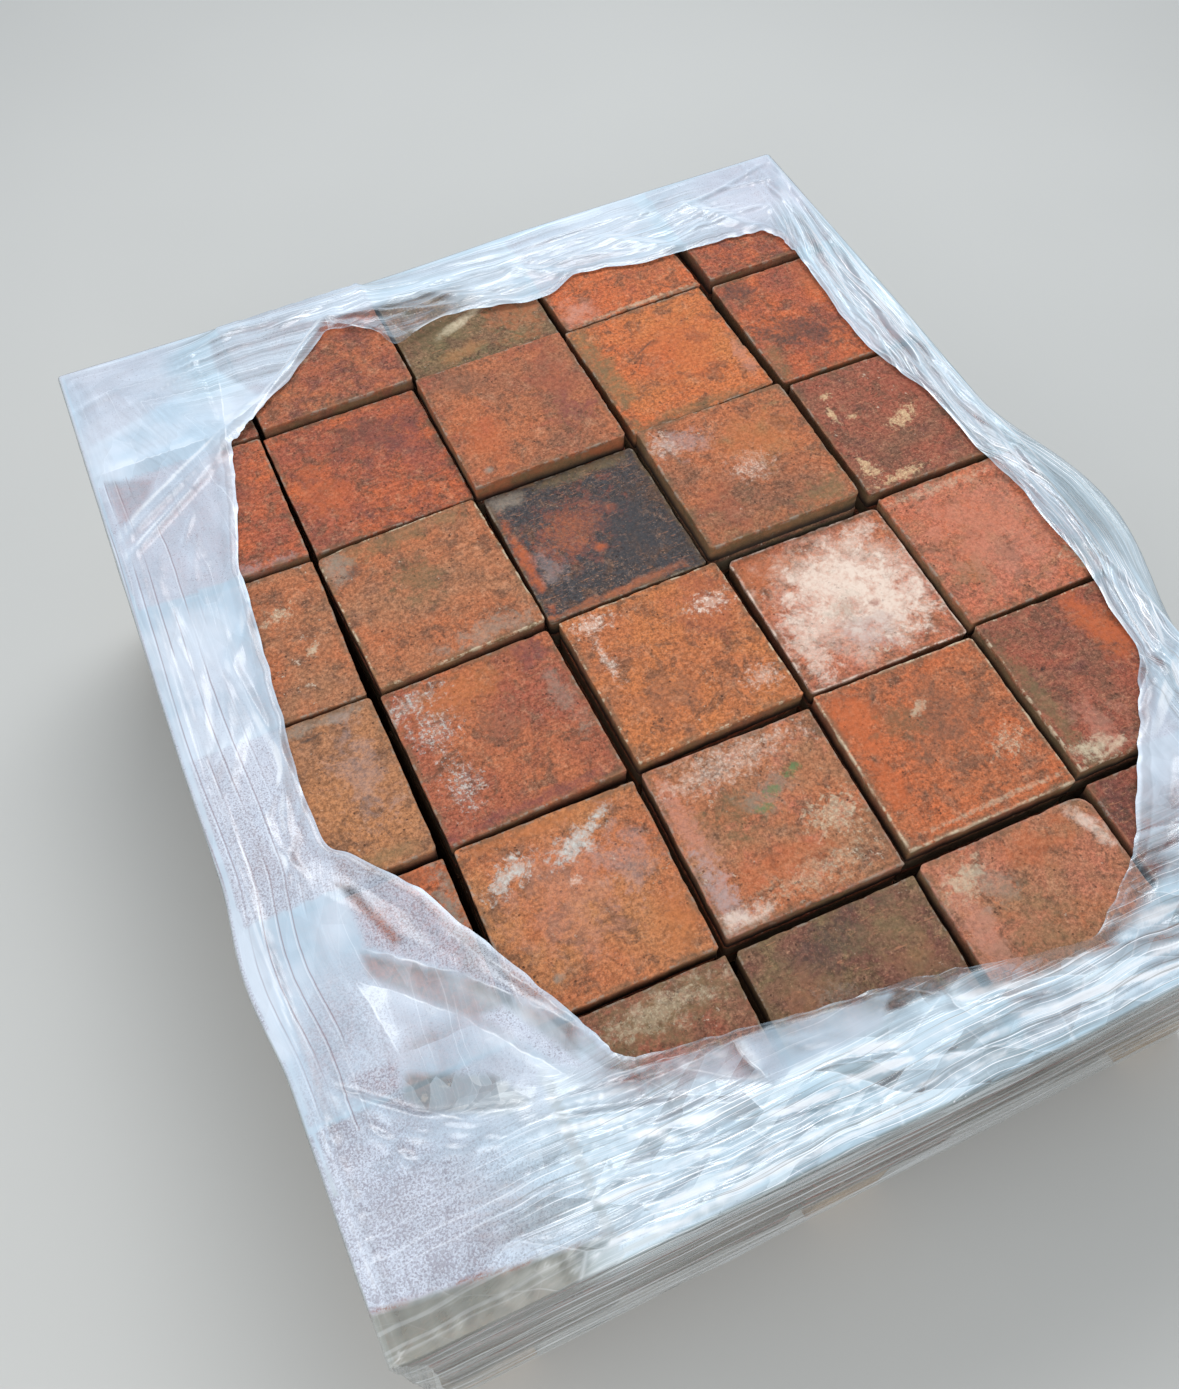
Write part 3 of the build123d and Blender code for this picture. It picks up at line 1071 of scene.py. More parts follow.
def make_top_tile(row, column):
    recipe = TOP_TILES[row, column]
    middle, turn, low, high = PILES[row, column]
    seed = 100 * row + 10 * column
    usual = [1.5 + 3 * abs(sin(seed + corner)) ** 3 for corner in range(4)]
    points, faces, rim, side = worn_tile(
        FACE_STEPS,
        high - low - 0.3 * MM,
        seed,
        recipe.get("corners", usual),
        recipe.get("chips", ()),
        recipe.get("dents", ()),
    )
    if (row, column) == BROKEN:
        points = break_near_side(points, seed)
    x = points[:, 0] * cos(turn) - points[:, 1] * sin(turn) + middle[0]
    y = points[:, 0] * sin(turn) + points[:, 1] * cos(turn) + middle[1]
    placed = np.stack([x, y, points[:, 2] + high], -1)
    node = top_tile_name(row, column)
    clay = tile_clay(f"clay_row{row}_column{column}", (*middle, high), turn, recipe)
    piece = mesh_piece(f"worn_{node}", placed, faces, clay)
    store_values(piece.data, "rim", rim)
    store_values(piece.data, "side", side)
    piece.data.set_sharp_from_angle(angle=radians(55))
    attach(piece, "root")
    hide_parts(node)


for row in ROWS:
    for column in COLUMNS:
        make_top_tile(row, column)


# The courses below
def course_clay():
    """Dusty tiles that show only in the joints and through the film."""
    material, tree, shader = new_material("clay_of_the_courses")
    place = object_place(tree)
    clay = add_node(tree, "ShaderNodeGroup", node_tree=fired_clay)
    tree.links.new(place, clay.inputs["Place"])
    tint = attribute(tree, "tint")
    body = blend(tree, between(tree, tint, 0.2, 0.8), CLAY["brown"], CLAY["orange"])
    tree.links.new(body, clay.inputs["Body"])
    bloom = blend(tree, between(tree, tint, 0.3, 0.4), CLAY["khaki"], CLAY["red"])
    tree.links.new(bloom, clay.inputs["Bloom"])
    clay.inputs["Stain"].default_value = CLAY["deep"]
    clay.inputs["Stain cover"].default_value = 0.45
    clay.inputs["Lime cover"].default_value = 0.6
    clay.inputs["Mottle size"].default_value = 16.0
    side = attribute(tree, "side")
    dusty = noise(tree, place, 22.0, 6.0, 0.7)
    dust = maths(
        tree, "MULTIPLY", between(tree, side, 0.1, 0.9), between(tree, dusty, 0.3, 0.6, 0.55, 0.9)
    )
    colour = blend(tree, dust, clay.outputs["Colour"], tone(122, 112, 92))
    tree.links.new(colour, shader.inputs["Base Color"])
    tree.links.new(clay.outputs["Roughness"], shader.inputs["Roughness"])
    tree.links.new(bump(tree, clay.outputs["Height"], 0.0012), shader.inputs["Normal"])
    shader.inputs["Specular IOR Level"].default_value = 0.3
    return material


def worn_variants(count):
    """Tiles of 1 m height, to be set to their real thickness where they are laid."""
    kept = bpy.data.collections.new("worn_tiles")
    steps = np.concatenate([np.array([0, 1.0, 3.0]) * MM, np.array([18, 40, 65, 88]) * MM])
    for number in range(count):
        seed = 7000 + 31 * number
        corners = [5 + 4 * abs(sin(seed * corner)) for corner in range(1, 5)]
        chips = [(97 * cos(seed), 97 * sin(seed * 2), 12, 2.0)]
        points, faces, rim, side = worn_tile(
            steps, 25 * MM, seed, corners, chips, side_rows=3, relief=0.6
        )
        points[:, 2] = points[:, 2] / (25 * MM)
        mesh = bpy.data.meshes.new(f"worn_tile_{number}")
        mesh.from_pydata(points.tolist(), [], faces)
        mesh.polygons.foreach_set("use_smooth", [True] * len(mesh.polygons))
        store_values(mesh, "side", side)
        mesh.set_sharp_from_angle(angle=radians(50))
        kept.objects.link(bpy.data.objects.new(f"worn_tile_{number}", mesh))
    return kept


def course_tree(variant_count):
    """Lays a worn tile on every point of a course, turned and scaled as the point says."""
    tree = bpy.data.node_groups.new("tile_course", "GeometryNodeTree")
    tree.interface.new_socket("Places", in_out="INPUT", socket_type="NodeSocketGeometry")
    tree.interface.new_socket("Tiles", in_out="INPUT", socket_type="NodeSocketCollection")
    tree.interface.new_socket("Clay", in_out="INPUT", socket_type="NodeSocketMaterial")
    tree.interface.new_socket("Seed", in_out="INPUT", socket_type="NodeSocketInt")
    tree.interface.new_socket("Course", in_out="OUTPUT", socket_type="NodeSocketGeometry")
    given = add_node(tree, "NodeGroupInput").outputs
    tiles = add_node(
        tree,
        "GeometryNodeCollectionInfo",
        {"Collection": given["Tiles"], "Separate Children": True, "Reset Children": True},
    )
    choice = add_node(
        tree,
        "FunctionNodeRandomValue",
        {"Min": 0, "Max": variant_count - 1, "Seed": given["Seed"]},
        data_type="INT",
    )
    turn = add_node(
        tree, "GeometryNodeInputNamedAttribute", {"Name": "turn"}, data_type="FLOAT_VECTOR"
    )
    size = add_node(
        tree, "GeometryNodeInputNamedAttribute", {"Name": "size"}, data_type="FLOAT_VECTOR"
    )
    laid = add_node(
        tree,
        "GeometryNodeInstanceOnPoints",
        {
            "Points": given["Places"],
            "Instance": tiles.outputs[0],
            "Pick Instance": True,
            "Instance Index": choice.outputs["Value"],
            "Rotation": turn.outputs["Attribute"],
            "Scale": size.outputs["Attribute"],
        },
    )
    tint = add_node(
        tree, "FunctionNodeRandomValue", {"Seed": given["Seed"]}, data_type="FLOAT"
    )
    tinted = add_node(
        tree,
        "GeometryNodeStoreNamedAttribute",
        {"Geometry": laid.outputs[0], "Name": "tint", "Value": tint.outputs["Value"]},
        data_type="FLOAT",
        domain="INSTANCE",
    )
    real = add_node(tree, "GeometryNodeRealizeInstances", {"Geometry": tinted.outputs[0]})
    coloured = add_node(
        tree,
        "GeometryNodeSetMaterial",
        {"Geometry": real.outputs[0], "Material": given["Clay"]},
    )
    add_node(tree, "NodeGroupOutput", {"Course": coloured.outputs[0]})
    return tree


def course_places(name):
    """Middle, turn, underside and top of each slab in a node, found by its level faces, which lie
    nearest to the middle of the slab's own pile."""
    mesh = frame["nodes"][name].data
    middles = np.array([PILES[pile][0] for pile in PILES])
    slabs = {}
    for face in mesh.polygons:
        if abs(face.normal.z) < 0.9:
            continue
        away = np.abs(middles - np.array(face.center[:2])).max(-1)
        corners = [tuple(mesh.vertices[vertex].co) for vertex in face.vertices]
        slabs.setdefault(int(away.argmin()), []).extend(corners)
    return [plan_place(np.array(corners)) for corners in slabs.values()]


def set_inputs(modifier, values):
    for item in modifier.node_group.interface.items_tree:
        if item.in_out == "INPUT" and item.name in values:
            modifier[item.identifier] = values[item.name]


def make_course(layer, tree, tiles, clay):
    node = f"tile_layer_{layer:02d}"
    places = course_places(node)
    mesh = bpy.data.meshes.new(f"places_{layer:02d}")
    mesh.from_pydata([(*middle, high) for middle, _, _, high in places], [], [])
    turns = [
        (0, 0, turn + pi / 2 * ((number * 7 + layer * 3) % 4))
        for number, (_, turn, _, _) in enumerate(places)
    ]
    sizes = [(1, 1, high - low - 0.2 * MM) for _, _, low, high in places]
    for name, values in (("turn", turns), ("size", sizes)):
        made = mesh.attributes.new(name, "FLOAT_VECTOR", "POINT")
        made.data.foreach_set("vector", np.array(values, np.float32).ravel())
    holder = bpy.data.objects.new(f"places_{layer:02d}", mesh)
    bpy.context.scene.collection.objects.link(holder)
    modifier = holder.modifiers.new("tile_course", "NODES")
    modifier.node_group = tree
    set_inputs(modifier, {"Tiles": tiles, "Clay": clay, "Seed": layer})
    bpy.context.view_layer.update()
    evaluated = holder.evaluated_get(bpy.context.evaluated_depsgraph_get())
    made = bpy.data.meshes.new_from_object(evaluated)
    bpy.data.objects.remove(holder)
    made.name = f"worn_{node}"
    piece = bpy.data.objects.new(f"worn_{node}", made)
    bpy.context.scene.collection.objects.link(piece)
    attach(piece, "root")
    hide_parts(node)


VARIANTS = 6
dusty_clay = course_clay()
variants = worn_variants(VARIANTS)
laid_course = course_tree(VARIANTS)
for layer in LAYERS:
    make_course(layer, laid_course, variants, dusty_clay)
for loose in list(variants.objects):
    bpy.data.objects.remove(loose)
bpy.data.collections.remove(variants)
frame["nodes"]["tile_core"].data.materials.clear()
frame["nodes"]["tile_core"].data.materials.append(dusty_clay)


# Pallet
def sawn_timber(name, along, end_grain=False):
    """Weathered softwood whose grain runs along X or Y."""
    material, tree, shader = new_material(name)
    place = object_place(tree)
    long_way = (2.2, 34, 60) if along == "X" else (34, 2.2, 60)
    figure = noise(tree, scaled(tree, place, long_way), 1.0, 4.0, 0.6, 1.2)
    fibre_way = (9, 420, 420) if along == "X" else (420, 9, 420)
    fibre = noise(tree, scaled(tree, place, fibre_way), 1.0, 5.0, 0.7)
    rings = add_node(
        tree,
        "ShaderNodeTexWave",
        {
            "Vector": scaled(tree, place, (0.5, 8, 11) if along == "X" else (8, 0.5, 11)),
            "Scale": 3.0,
            "Distortion": 5.0,
            "Detail": 3.0,
            "Detail Scale": 1.4,
        },
    ).outputs["Fac"]
    colour = blend(tree, between(tree, figure, 0.35, 0.65), tone(188, 156, 112), tone(156, 122, 84))
    colour = blend(tree, maths(tree, "MULTIPLY", rings, 0.35), colour, tone(132, 96, 62))
    colour = blend(tree, between(tree, fibre, 0.5, 0.75, 0.0, 0.5), colour, tone(116, 96, 74))
    weather = noise(tree, place, 5.0, 6.0, 0.65)
    colour = blend(tree, between(tree, weather, 0.45, 0.7, 0.0, 0.6), colour, tone(150, 142, 130))
    knots = add_node(
        tree,
        "ShaderNodeTexVoronoi",
        {"Vector": scaled(tree, place, (3, 9, 9) if along == "X" else (9, 3, 9)), "Scale": 1.0},
    )
    knot = between(tree, knots.outputs["Distance"], 0.05, 0.11, 1.0, 0.0)
    colour = blend(tree, maths(tree, "MULTIPLY", knot, 0.8), colour, tone(84, 54, 34))
    if end_grain:
        damp = noise(tree, place, 14.0, 5.0)
        colour = blend(tree, between(tree, damp, 0.5, 0.7, 0.0, 0.5), colour, tone(92, 74, 56))
    tree.links.new(colour, shader.inputs["Base Color"])
    shader.inputs["Roughness"].default_value = 0.85
    height = maths(tree, "ADD", fibre, maths(tree, "MULTIPLY", rings, 0.4))
    tree.links.new(bump(tree, height, 0.0012, 0.8), shader.inputs["Normal"])
    return material


long_timber = sawn_timber("sawn_timber_lengthwise", "Y")
cross_timber = sawn_timber("sawn_timber_crosswise", "X")
block_timber = sawn_timber("sawn_timber_blocks", "Y", end_grain=True)
for node, piece in frame["nodes"].items():
    if node.startswith("deck_board"):
        timber = cross_timber
    elif "_board_" in node:
        timber = long_timber
    elif node == "pallet_blocks":
        timber = block_timber
    else:
        continue
    piece.data.materials.clear()
    piece.data.materials.append(timber)


# Stretch film
AROUND = 1120
RIM_GAP = 1.4 * MM

# The torn opening, anticlockwise from the near right corner. Each line has the place on the load's
# rim that the film is pulled from, and the place of the film's torn edge, in millimetres.
TORN_EDGE = [
    *[((515, rim), edge) for rim, edge in ((-500, (377, -389)), (-345, (435, -315)))],
    *[((515, rim), edge) for rim, edge in ((-288, (452, -290)), (-232, (452, -231)))],
    *[((515, rim), edge) for rim, edge in ((-178, (468, -179)), (-103, (464, -103)))],
    *[((515, rim), edge) for rim, edge in ((-44, (466, -44)), (34, (458, 34)), (128, (456, 128)))],
    *[((515, rim), edge) for rim, edge in ((180, (440, 173)), (232, (430, 224)))],
    *[((515, rim), edge) for rim, edge in ((310, (429, 303)), (378, (433, 369)))],
    *[((515, rim), edge) for rim, edge in ((450, (433, 413)), (560, (428, 448)))],
    *[((rim, 615), edge) for rim, edge in ((475, (417, 472)), (380, (361, 480)))],
    *[((rim, 615), edge) for rim, edge in ((300, (290, 482)), (240, (234, 485)))],
    *[((rim, 612), edge) for rim, edge in ((188, (187, 498)), (146, (146, 503)))],
    *[((rim, 612), edge) for rim, edge in ((104, (106, 480)), (62, (65, 480)), (-24, (-10, 498)))],
    *[((rim, 608), edge) for rim, edge in ((-70, (-66, 488)), (-108, (-112, 466)))],
    *[((rim, 606), edge) for rim, edge in ((-150, (-132, 510)), (-204, (-184, 535)))],
    *[((rim, 604), edge) for rim, edge in ((-285, (-253, 467)), (-385, (-305, 430)))],
    *[((-513, rim), edge) for rim, edge in ((520, (-348, 399)), (370, (-366, 316)))],
    *[((-513, rim), edge) for rim, edge in ((225, (-392, 217)), (122, (-398, 122)))],
    *[((-513, rim), edge) for rim, edge in ((14, (-406, 14)), (-87, (-413, -87)))],
    *[((-513, rim), edge) for rim, edge in ((-152, (-410, -153)), (-185, (-391, -168)))],
    *[((-513, rim), edge) for rim, edge in ((-225, (-371, -195)), (-275, (-342, -229)))],
    *[((-513, rim), edge) for rim, edge in ((-330, (-325, -267)), (-410, (-298, -323)))],
    *[((-513, rim), edge) for rim, edge in ((-520, (-261, -401)),)],
    *[((rim, -604), edge) for rim, edge in ((-420, (-240, -452)), (-300, (-222, -464)))],
    *[((rim, -604), edge) for rim, edge in ((-180, (-150, -476)), (-85, (-71, -490)))],
    *[((rim, -604), edge) for rim, edge in ((18, (21, -501)), (106, (104, -519)))],
    *[((rim, -604), edge) for rim, edge in ((165, (161, -533)), (230, (219, -539)))],
    *[((rim, -604), edge) for rim, edge in ((330, (285, -498)), (430, (312, -476)))],
]


def load_outline():
    """The corners in plan that film pulled round the load touches, anticlockwise from the near
    right one."""
    wrapped = [name for name in frame["nodes"] if name.startswith(("tile_layer", "deck_board"))]
    wrapped += [top_tile_name(row, column) for row in ROWS for column in COLUMNS]
    corners = np.concatenate([node_points(name)[:, :2] for name in wrapped])
    corners = np.unique(corners.round(5), axis=0)
    ring = corners[convex_hull_2d([tuple(corner) for corner in corners])]
    following = np.roll(ring, -1, axis=0)
    if np.sum(ring[:, 0] * following[:, 1] - following[:, 0] * ring[:, 1]) < 0:
        ring = ring[::-1]
    start = int(np.argmax(ring @ np.array([1.0, -1.0])))
    return np.roll(ring, -start, axis=0)


def smooth_round(values, reach):
    """Averages values round the load over a number of points each way."""
    weights = np.hanning(2 * reach + 3)[1:-1]
    weights /= weights.sum()
    padded = np.concatenate([values[-reach:], values, values[:reach]])
    return np.convolve(padded, weights, mode="valid")


def rim_path():
    """Points, outward directions and distances of the film's line round the load."""
    ring = load_outline()
    line = []
    for number, corner in enumerate(ring):
        before = corner - ring[number - 1]
        after = ring[(number + 1) % len(ring)] - corner
        first = atan2(-before[0], before[1])
        last = atan2(-after[0], after[1])
        while last < first:
            last += 2 * pi
        for part in np.linspace(0, 1, 5):
            angle = first + (last - first) * part
            line.append(corner + RIM_GAP * np.array([cos(angle), sin(angle)]))
    line = np.array(line + line[:1])
    distance = np.concatenate([[0], np.cumsum(np.hypot(*np.diff(line, axis=0).T))])
    even = np.linspace(0, distance[-1], AROUND + 1)[:-1]
    points = np.stack([np.interp(even, distance, line[:, axis]) for axis in (0, 1)], -1)
    ahead = np.roll(points, -2, axis=0) - np.roll(points, 2, axis=0)
    out = np.stack([ahead[:, 1], -ahead[:, 0]], -1)
    out /= np.hypot(out[:, 0], out[:, 1])[:, None]
    return points, out, even


RIM, OUTWARD, RIM_DISTANCE = rim_path()
ROUND_LENGTH = RIM_DISTANCE[-1] + RIM_DISTANCE[1]


def bump_along(x, centre, reach):
    """1 at the centre, falling smoothly to 0 at reach from it."""
    return np.clip(1 - ((x - centre) / reach) ** 2, 0, 1) ** 2


def loose_bulge():
    """How far the film stands off the load round its rim: the right side's loose flap and a
    smaller one on the left."""
    x, y = RIM[:, 0], RIM[:, 1]
    right = 45 * MM * bump_along(y, -0.105, 0.2) * (x > 0.45)
    left = 9 * MM * bump_along(y, -0.25, 0.11) * (x < -0.45)
    return smooth_round(right + left, 4)


def torn_edge():
    """The torn edge's point in plan for every point of the rim."""
    found = []
    for place, edge in TORN_EDGE:
        nearest = np.hypot(*(RIM - np.array(place) * MM).T).argmin()
        found.append((RIM_DISTANCE[nearest], edge[0] * MM, edge[1] * MM))
    found.sort()
    found = np.array(found)
    before, after = found[-1:].copy(), found[:1].copy()
    before[0, 0] -= ROUND_LENGTH
    after[0, 0] += ROUND_LENGTH
    found = np.concatenate([before, found, after])
    edge = [np.interp(RIM_DISTANCE, found[:, 0], found[:, axis]) for axis in (1, 2)]
    edge = np.stack([smooth_round(values, 5) for values in edge], -1)
    for axis in (0, 1):
        edge[:, axis] += 1.3 * MM * soft_noise(RIM_DISTANCE, RIM_DISTANCE * 0, 0.021, 40 + axis)
    return edge


def load_height(x, y):
    """The height of the load's top at points in plan, below the tiles in the joints."""
    half = TILE_SIDE / 2
    height = np.full(x.shape, 0.43)
    for pile, (middle, turn, low, high) in PILES.items():
        away_x, away_y = x - middle[0], y - middle[1]
        local_x = away_x * cos(turn) + away_y * sin(turn)
        local_y = away_y * cos(turn) - away_x * sin(turn)
        inside = (np.abs(local_x) < half) & (np.abs(local_y) < half)
        level = np.full(x.shape, high)
        if pile == BROKEN:
            part = (local_x + half) / TILE_SIDE
            line = -half + BROKEN_LEFT + (BROKEN_RIGHT - BROKEN_LEFT) * part
            level = np.where(local_y < line, low, high)
        height = np.where(inside, np.maximum(height, level), height)
    return height


def crease(x, y, start, end, height, width):
    """One fold with a sharp crest, running out at both ends."""
    along = (end[0] - start[0], end[1] - start[1])
    length = hypot(*along)
    part = ((x - start[0]) * along[0] + (y - start[1]) * along[1]) / length**2
    away = np.abs((x - start[0]) * along[1] - (y - start[1]) * along[0]) / length
    run_out = np.clip(1 - np.abs(2 * part - 1) ** 3, 0, 1)
    return height * run_out * np.clip(1 - away / width, 0, 1)


# Folds in the film on top: start, end, height and width in millimetres
TOP_FOLDS = [
    ((-513, 300), (-318, 428), 7, 13),
    ((-513, 270), (-340, 405), 5, 9),
    ((-500, 322), (-300, 455), 4, 8),
    ((-470, -150), (-215, -470), 4, 26),
    ((-500, -420), (-200, -520), 5, 9),
    ((-500, -450), (-120, -530), 4, 8),
    ((-360, -300), (-230, -455), 5, 16),
    ((-230, -470), (60, -540), 9, 22),
    ((-160, -485), (-60, -560), 8, 20),
    ((-60, -495), (40, -560), 9, 22),
    ((30, -505), (60, -570), 8, 20),
    ((60, -520), (190, -560), 9, 18),
    ((150, -535), (260, -580), 8, 18),
    ((220, -540), (420, -520), 9, 18),
    ((280, -500), (470, -480), 8, 18),
    ((-200, -500), (180, -575), 6, 12),
    ((-320, -505), (120, -580), 5, 9),
    ((-60, -580), (400, -560), 6, 12),
    ((340, -470), (510, -420), 7, 14),
    ((380, -390), (500, -300), 6, 14),
    ((440, -320), (480, 60), 5, 12),
    ((470, -180), (500, 120), 5, 10),
    ((460, 40), (495, 420), 5, 9),
    ((440, 180), (480, 560), 5, 9),
    ((-184, 550), (-110, 480), 5, 5),
    ((-180, 556), (-10, 508), 6, 6),
    ((-112, 474), (-20, 498), 5, 6),
    ((-255, 470), (-182, 556), 5, 8),
    ((-330, 410), (-150, 580), 6, 10),
    ((60, 482), (-60, 560), 5, 13),
    ((-488, -371), (-410, -440), 6, 8),
    ((-430, -428), (-320, -470), 6, 8),
    ((-330, -466), (-225, -484), 6, 7),
    ((-484, -380), (-430, -480), 4, 7),
    ((-480, -384), (-390, -480), 4, 7),
    ((-470, -392), (-350, -490), 4, 7),
    ((150, 500), (60, 560), 4, 12),
    ((300, 485), (200, 560), 5, 14),
    ((420, 470), (330, 580), 5, 14),
    ((430, 440), (500, 590), 6, 14),
    ((-412, -90), (-440, 120), 4, 9),
    ((-405, 20), (-450, -160), 3, 8),
]


def seeded_folds(seed, count, box, turn, spread, lengths, widths, heights):
    """Folds scattered in a box of the plan, all running about one way."""
    chance = np.random.default_rng(seed)
    low_x, low_y, high_x, high_y = box
    folds = []
    for _ in range(count):
        x, y = chance.uniform(low_x, high_x), chance.uniform(low_y, high_y)
        angle = radians(turn + chance.uniform(-spread, spread))
        half = chance.uniform(*lengths) / 2
        step = (half * cos(angle), half * sin(angle))
        folds.append(
            (
                (x - step[0], y - step[1]),
                (x + step[0], y + step[1]),
                chance.uniform(*heights),
                chance.uniform(*widths),
            )
        )
    return folds


def corner_fan():
    """Fine straight folds fanning out from the far left corner of the opening."""
    folds = []
    for number in range(16):
        part = number / 15
        start = (-395 + 40 * part, 330 + 70 * part)
        end = (-505 + 150 * part, 520 + 75 * sin(pi / 2 * part))
        folds.append((start, end, 2.2, 4.5))
    return folds


def all_top_folds():
    folds = list(TOP_FOLDS) + corner_fan()
    folds += seeded_folds(1, 70, (-330, -598, 500, -520), -4, 14, (60, 320), (4, 9), (1, 4))
    folds += seeded_folds(2, 36, (-230, -560, 420, -480), 20, 60, (30, 110), (8, 20), (2, 7))
    folds += seeded_folds(3, 46, (-500, 500, 480, 600), 6, 22, (40, 180), (4, 9), (1, 3.5))
    folds += seeded_folds(4, 40, (440, -400, 512, 580), 88, 8, (80, 380), (3, 7), (1, 3.5))
    folds += seeded_folds(5, 14, (-510, -560, -488, 380), 90, 1.5, (200, 600), (2.5, 5), (1, 2))
    folds += seeded_folds(7, 22, (-480, -200, -400, 300), 80, 30, (40, 160), (5, 12), (0.6, 2))
    folds += seeded_folds(8, 20, (380, -500, 512, -250), 60, 30, (50, 170), (6, 14), (2, 6))
    return folds


def relaxed(height, under, rounds):
    """Pulls the film tight over what is under it, held along its first column."""
    for _ in range(rounds):
        mean = (np.roll(height, 1, 0) + np.roll(height, -1, 0)) / 2
        inner = mean.copy()
        inner[:, 1:-1] = (mean[:, 1:-1] + (height[:, 2:] + height[:, :-2]) / 2) / 2
        inner[:, 0] = mean[:, 0]
        height = np.maximum(inner, under)
    return height


TOP_STEPS = np.linspace(0, 1, 58)
SIDE_DROPS = np.array([1.2, 4, 8, 13, 19, 26, 34, 43, 52, 62]) * MM


def film_top():
    """The band on top and down over the rim, as arrays of points round by rows, with the values
    that its material reads."""
    bulge = loose_bulge()
    edge = torn_edge()
    rim = RIM + OUTWARD * (bulge - 1.5 * MM)[:, None]
    across = TOP_STEPS[None, :, None]
    plan = rim[:, None] * (1 - across) + edge[:, None] * across
    x, y = plan[..., 0], plan[..., 1]
    under = load_height(x, y) + 1.3 * MM
    reach = np.hypot(*(edge - rim).T)
    # In over the outermost millimetres the rim rests on the arris of the tiles beside it.
    under[:, 0] = load_height(x[:, 0] - 6 * MM * OUTWARD[:, 0], y[:, 0] - 6 * MM * OUTWARD[:, 1])
    loose = bulge > 6 * MM
    under[loose, 0] = 0.478
    height = relaxed(under.copy(), under, 700)
    reach_round = range(-50, 51)
    taut = np.max([np.roll(height[:, 0], shift) for shift in reach_round], axis=0)
    taut = np.maximum(smooth_round(taut, 50), height[:, 0])
    under[:, 0] += (taut - under[:, 0]) * np.clip((RIM[:, 1] + 0.40) / 0.1, 0, 1)
    height = relaxed(np.maximum(height, under), under, 300)
    on_tile = np.clip(1 - (height - under) / (2.5 * MM), 0, 1)
    spans = np.clip((height - under) / (20 * MM), 0, 1)

    lift = np.zeros_like(height)
    near = bump_along(x, 0.03, 0.36) * (y < -0.38)
    lift += 9 * MM * near * TOP_STEPS[None] ** 1.5
    lift += 3.5 * MM * bump_along(TOP_STEPS, 0.94, 0.1)[None] * np.ones_like(height)
    lift += 7 * MM * bump_along(x, -0.3, 0.16) * bump_along(y, -0.4, 0.22) * TOP_STEPS[None]
    folds = np.zeros_like(height)
    for start, end, tall, width in all_top_folds():
        start, end = np.array(start) * MM, np.array(end) * MM
        folds += crease(x, y, start, end, tall * MM, width * MM)
    crumple = 1.2 * np.abs(soft_noise(x, y, 0.017, 60)) + 0.8 * np.abs(soft_noise(x, y, 0.008, 61))
    folds += crumple * MM * (0.35 + 0.9 * (y < -0.45))
    held = np.where((x > 0.4) | (y < -0.4), 14 * MM, 32 * MM)
    rim_hold = np.clip(TOP_STEPS[None] * reach[:, None] / held, 0, 1)
    folds = 9 * MM * np.tanh(folds / (9 * MM))
    step = np.maximum(reach[:, None] * (TOP_STEPS[1] - TOP_STEPS[0]), 1 * MM)
    slope_across = np.gradient(folds * rim_hold, axis=1) / step
    slope_along = (np.roll(folds, -1, 0) - np.roll(folds, 1, 0)) / (2 * RIM_DISTANCE[1])
    # Folds whose slope faces one fixed way are painted bright, as if they caught the light: a painted
    # highlight.
    painted_facet_highlight = np.tanh(1.6 * (slope_across + 0.6 * slope_along))
    height = height + (lift + folds) * rim_hold
    off_tile = np.clip((lift + folds) / (6 * MM), 0, 1)

    points = np.stack([x, y, height], -1)
    down = []
    for drop in SIDE_DROPS[::-1]:
        fade = np.exp(-drop / 0.16)
        wave = 0.7 * soft_noise(RIM_DISTANCE, RIM_DISTANCE * 0 + drop, 0.08, 62)
        ripple = 0.4 * soft_noise(RIM_DISTANCE, RIM_DISTANCE * 0 + drop * 6, 0.03, 63)
        stand = bulge * fade + (1.6 + wave * min(1, drop / 0.02) + abs(ripple)) * MM
        level = RIM + OUTWARD * (stand - 1.5 * MM * np.exp(-drop / (1.5 * MM)))[:, None]
        down.append(np.column_stack([level, height[:, 0] - drop]))
    points = np.concatenate([np.stack(down, 1), points], 1)
    rows = len(SIDE_DROPS)
    values = {
        "touch": np.concatenate([np.zeros((AROUND, rows)), on_tile * (1 - 0.6 * off_tile)], 1),
        "edge": np.concatenate([np.zeros((AROUND, rows)), np.tile(TOP_STEPS, (AROUND, 1))], 1),
        "painted_facet_highlight": np.concatenate([np.zeros((AROUND, rows)), painted_facet_highlight], 1),
        "spans": np.concatenate([np.zeros((AROUND, rows)), spans], 1),
    }
    return points, values


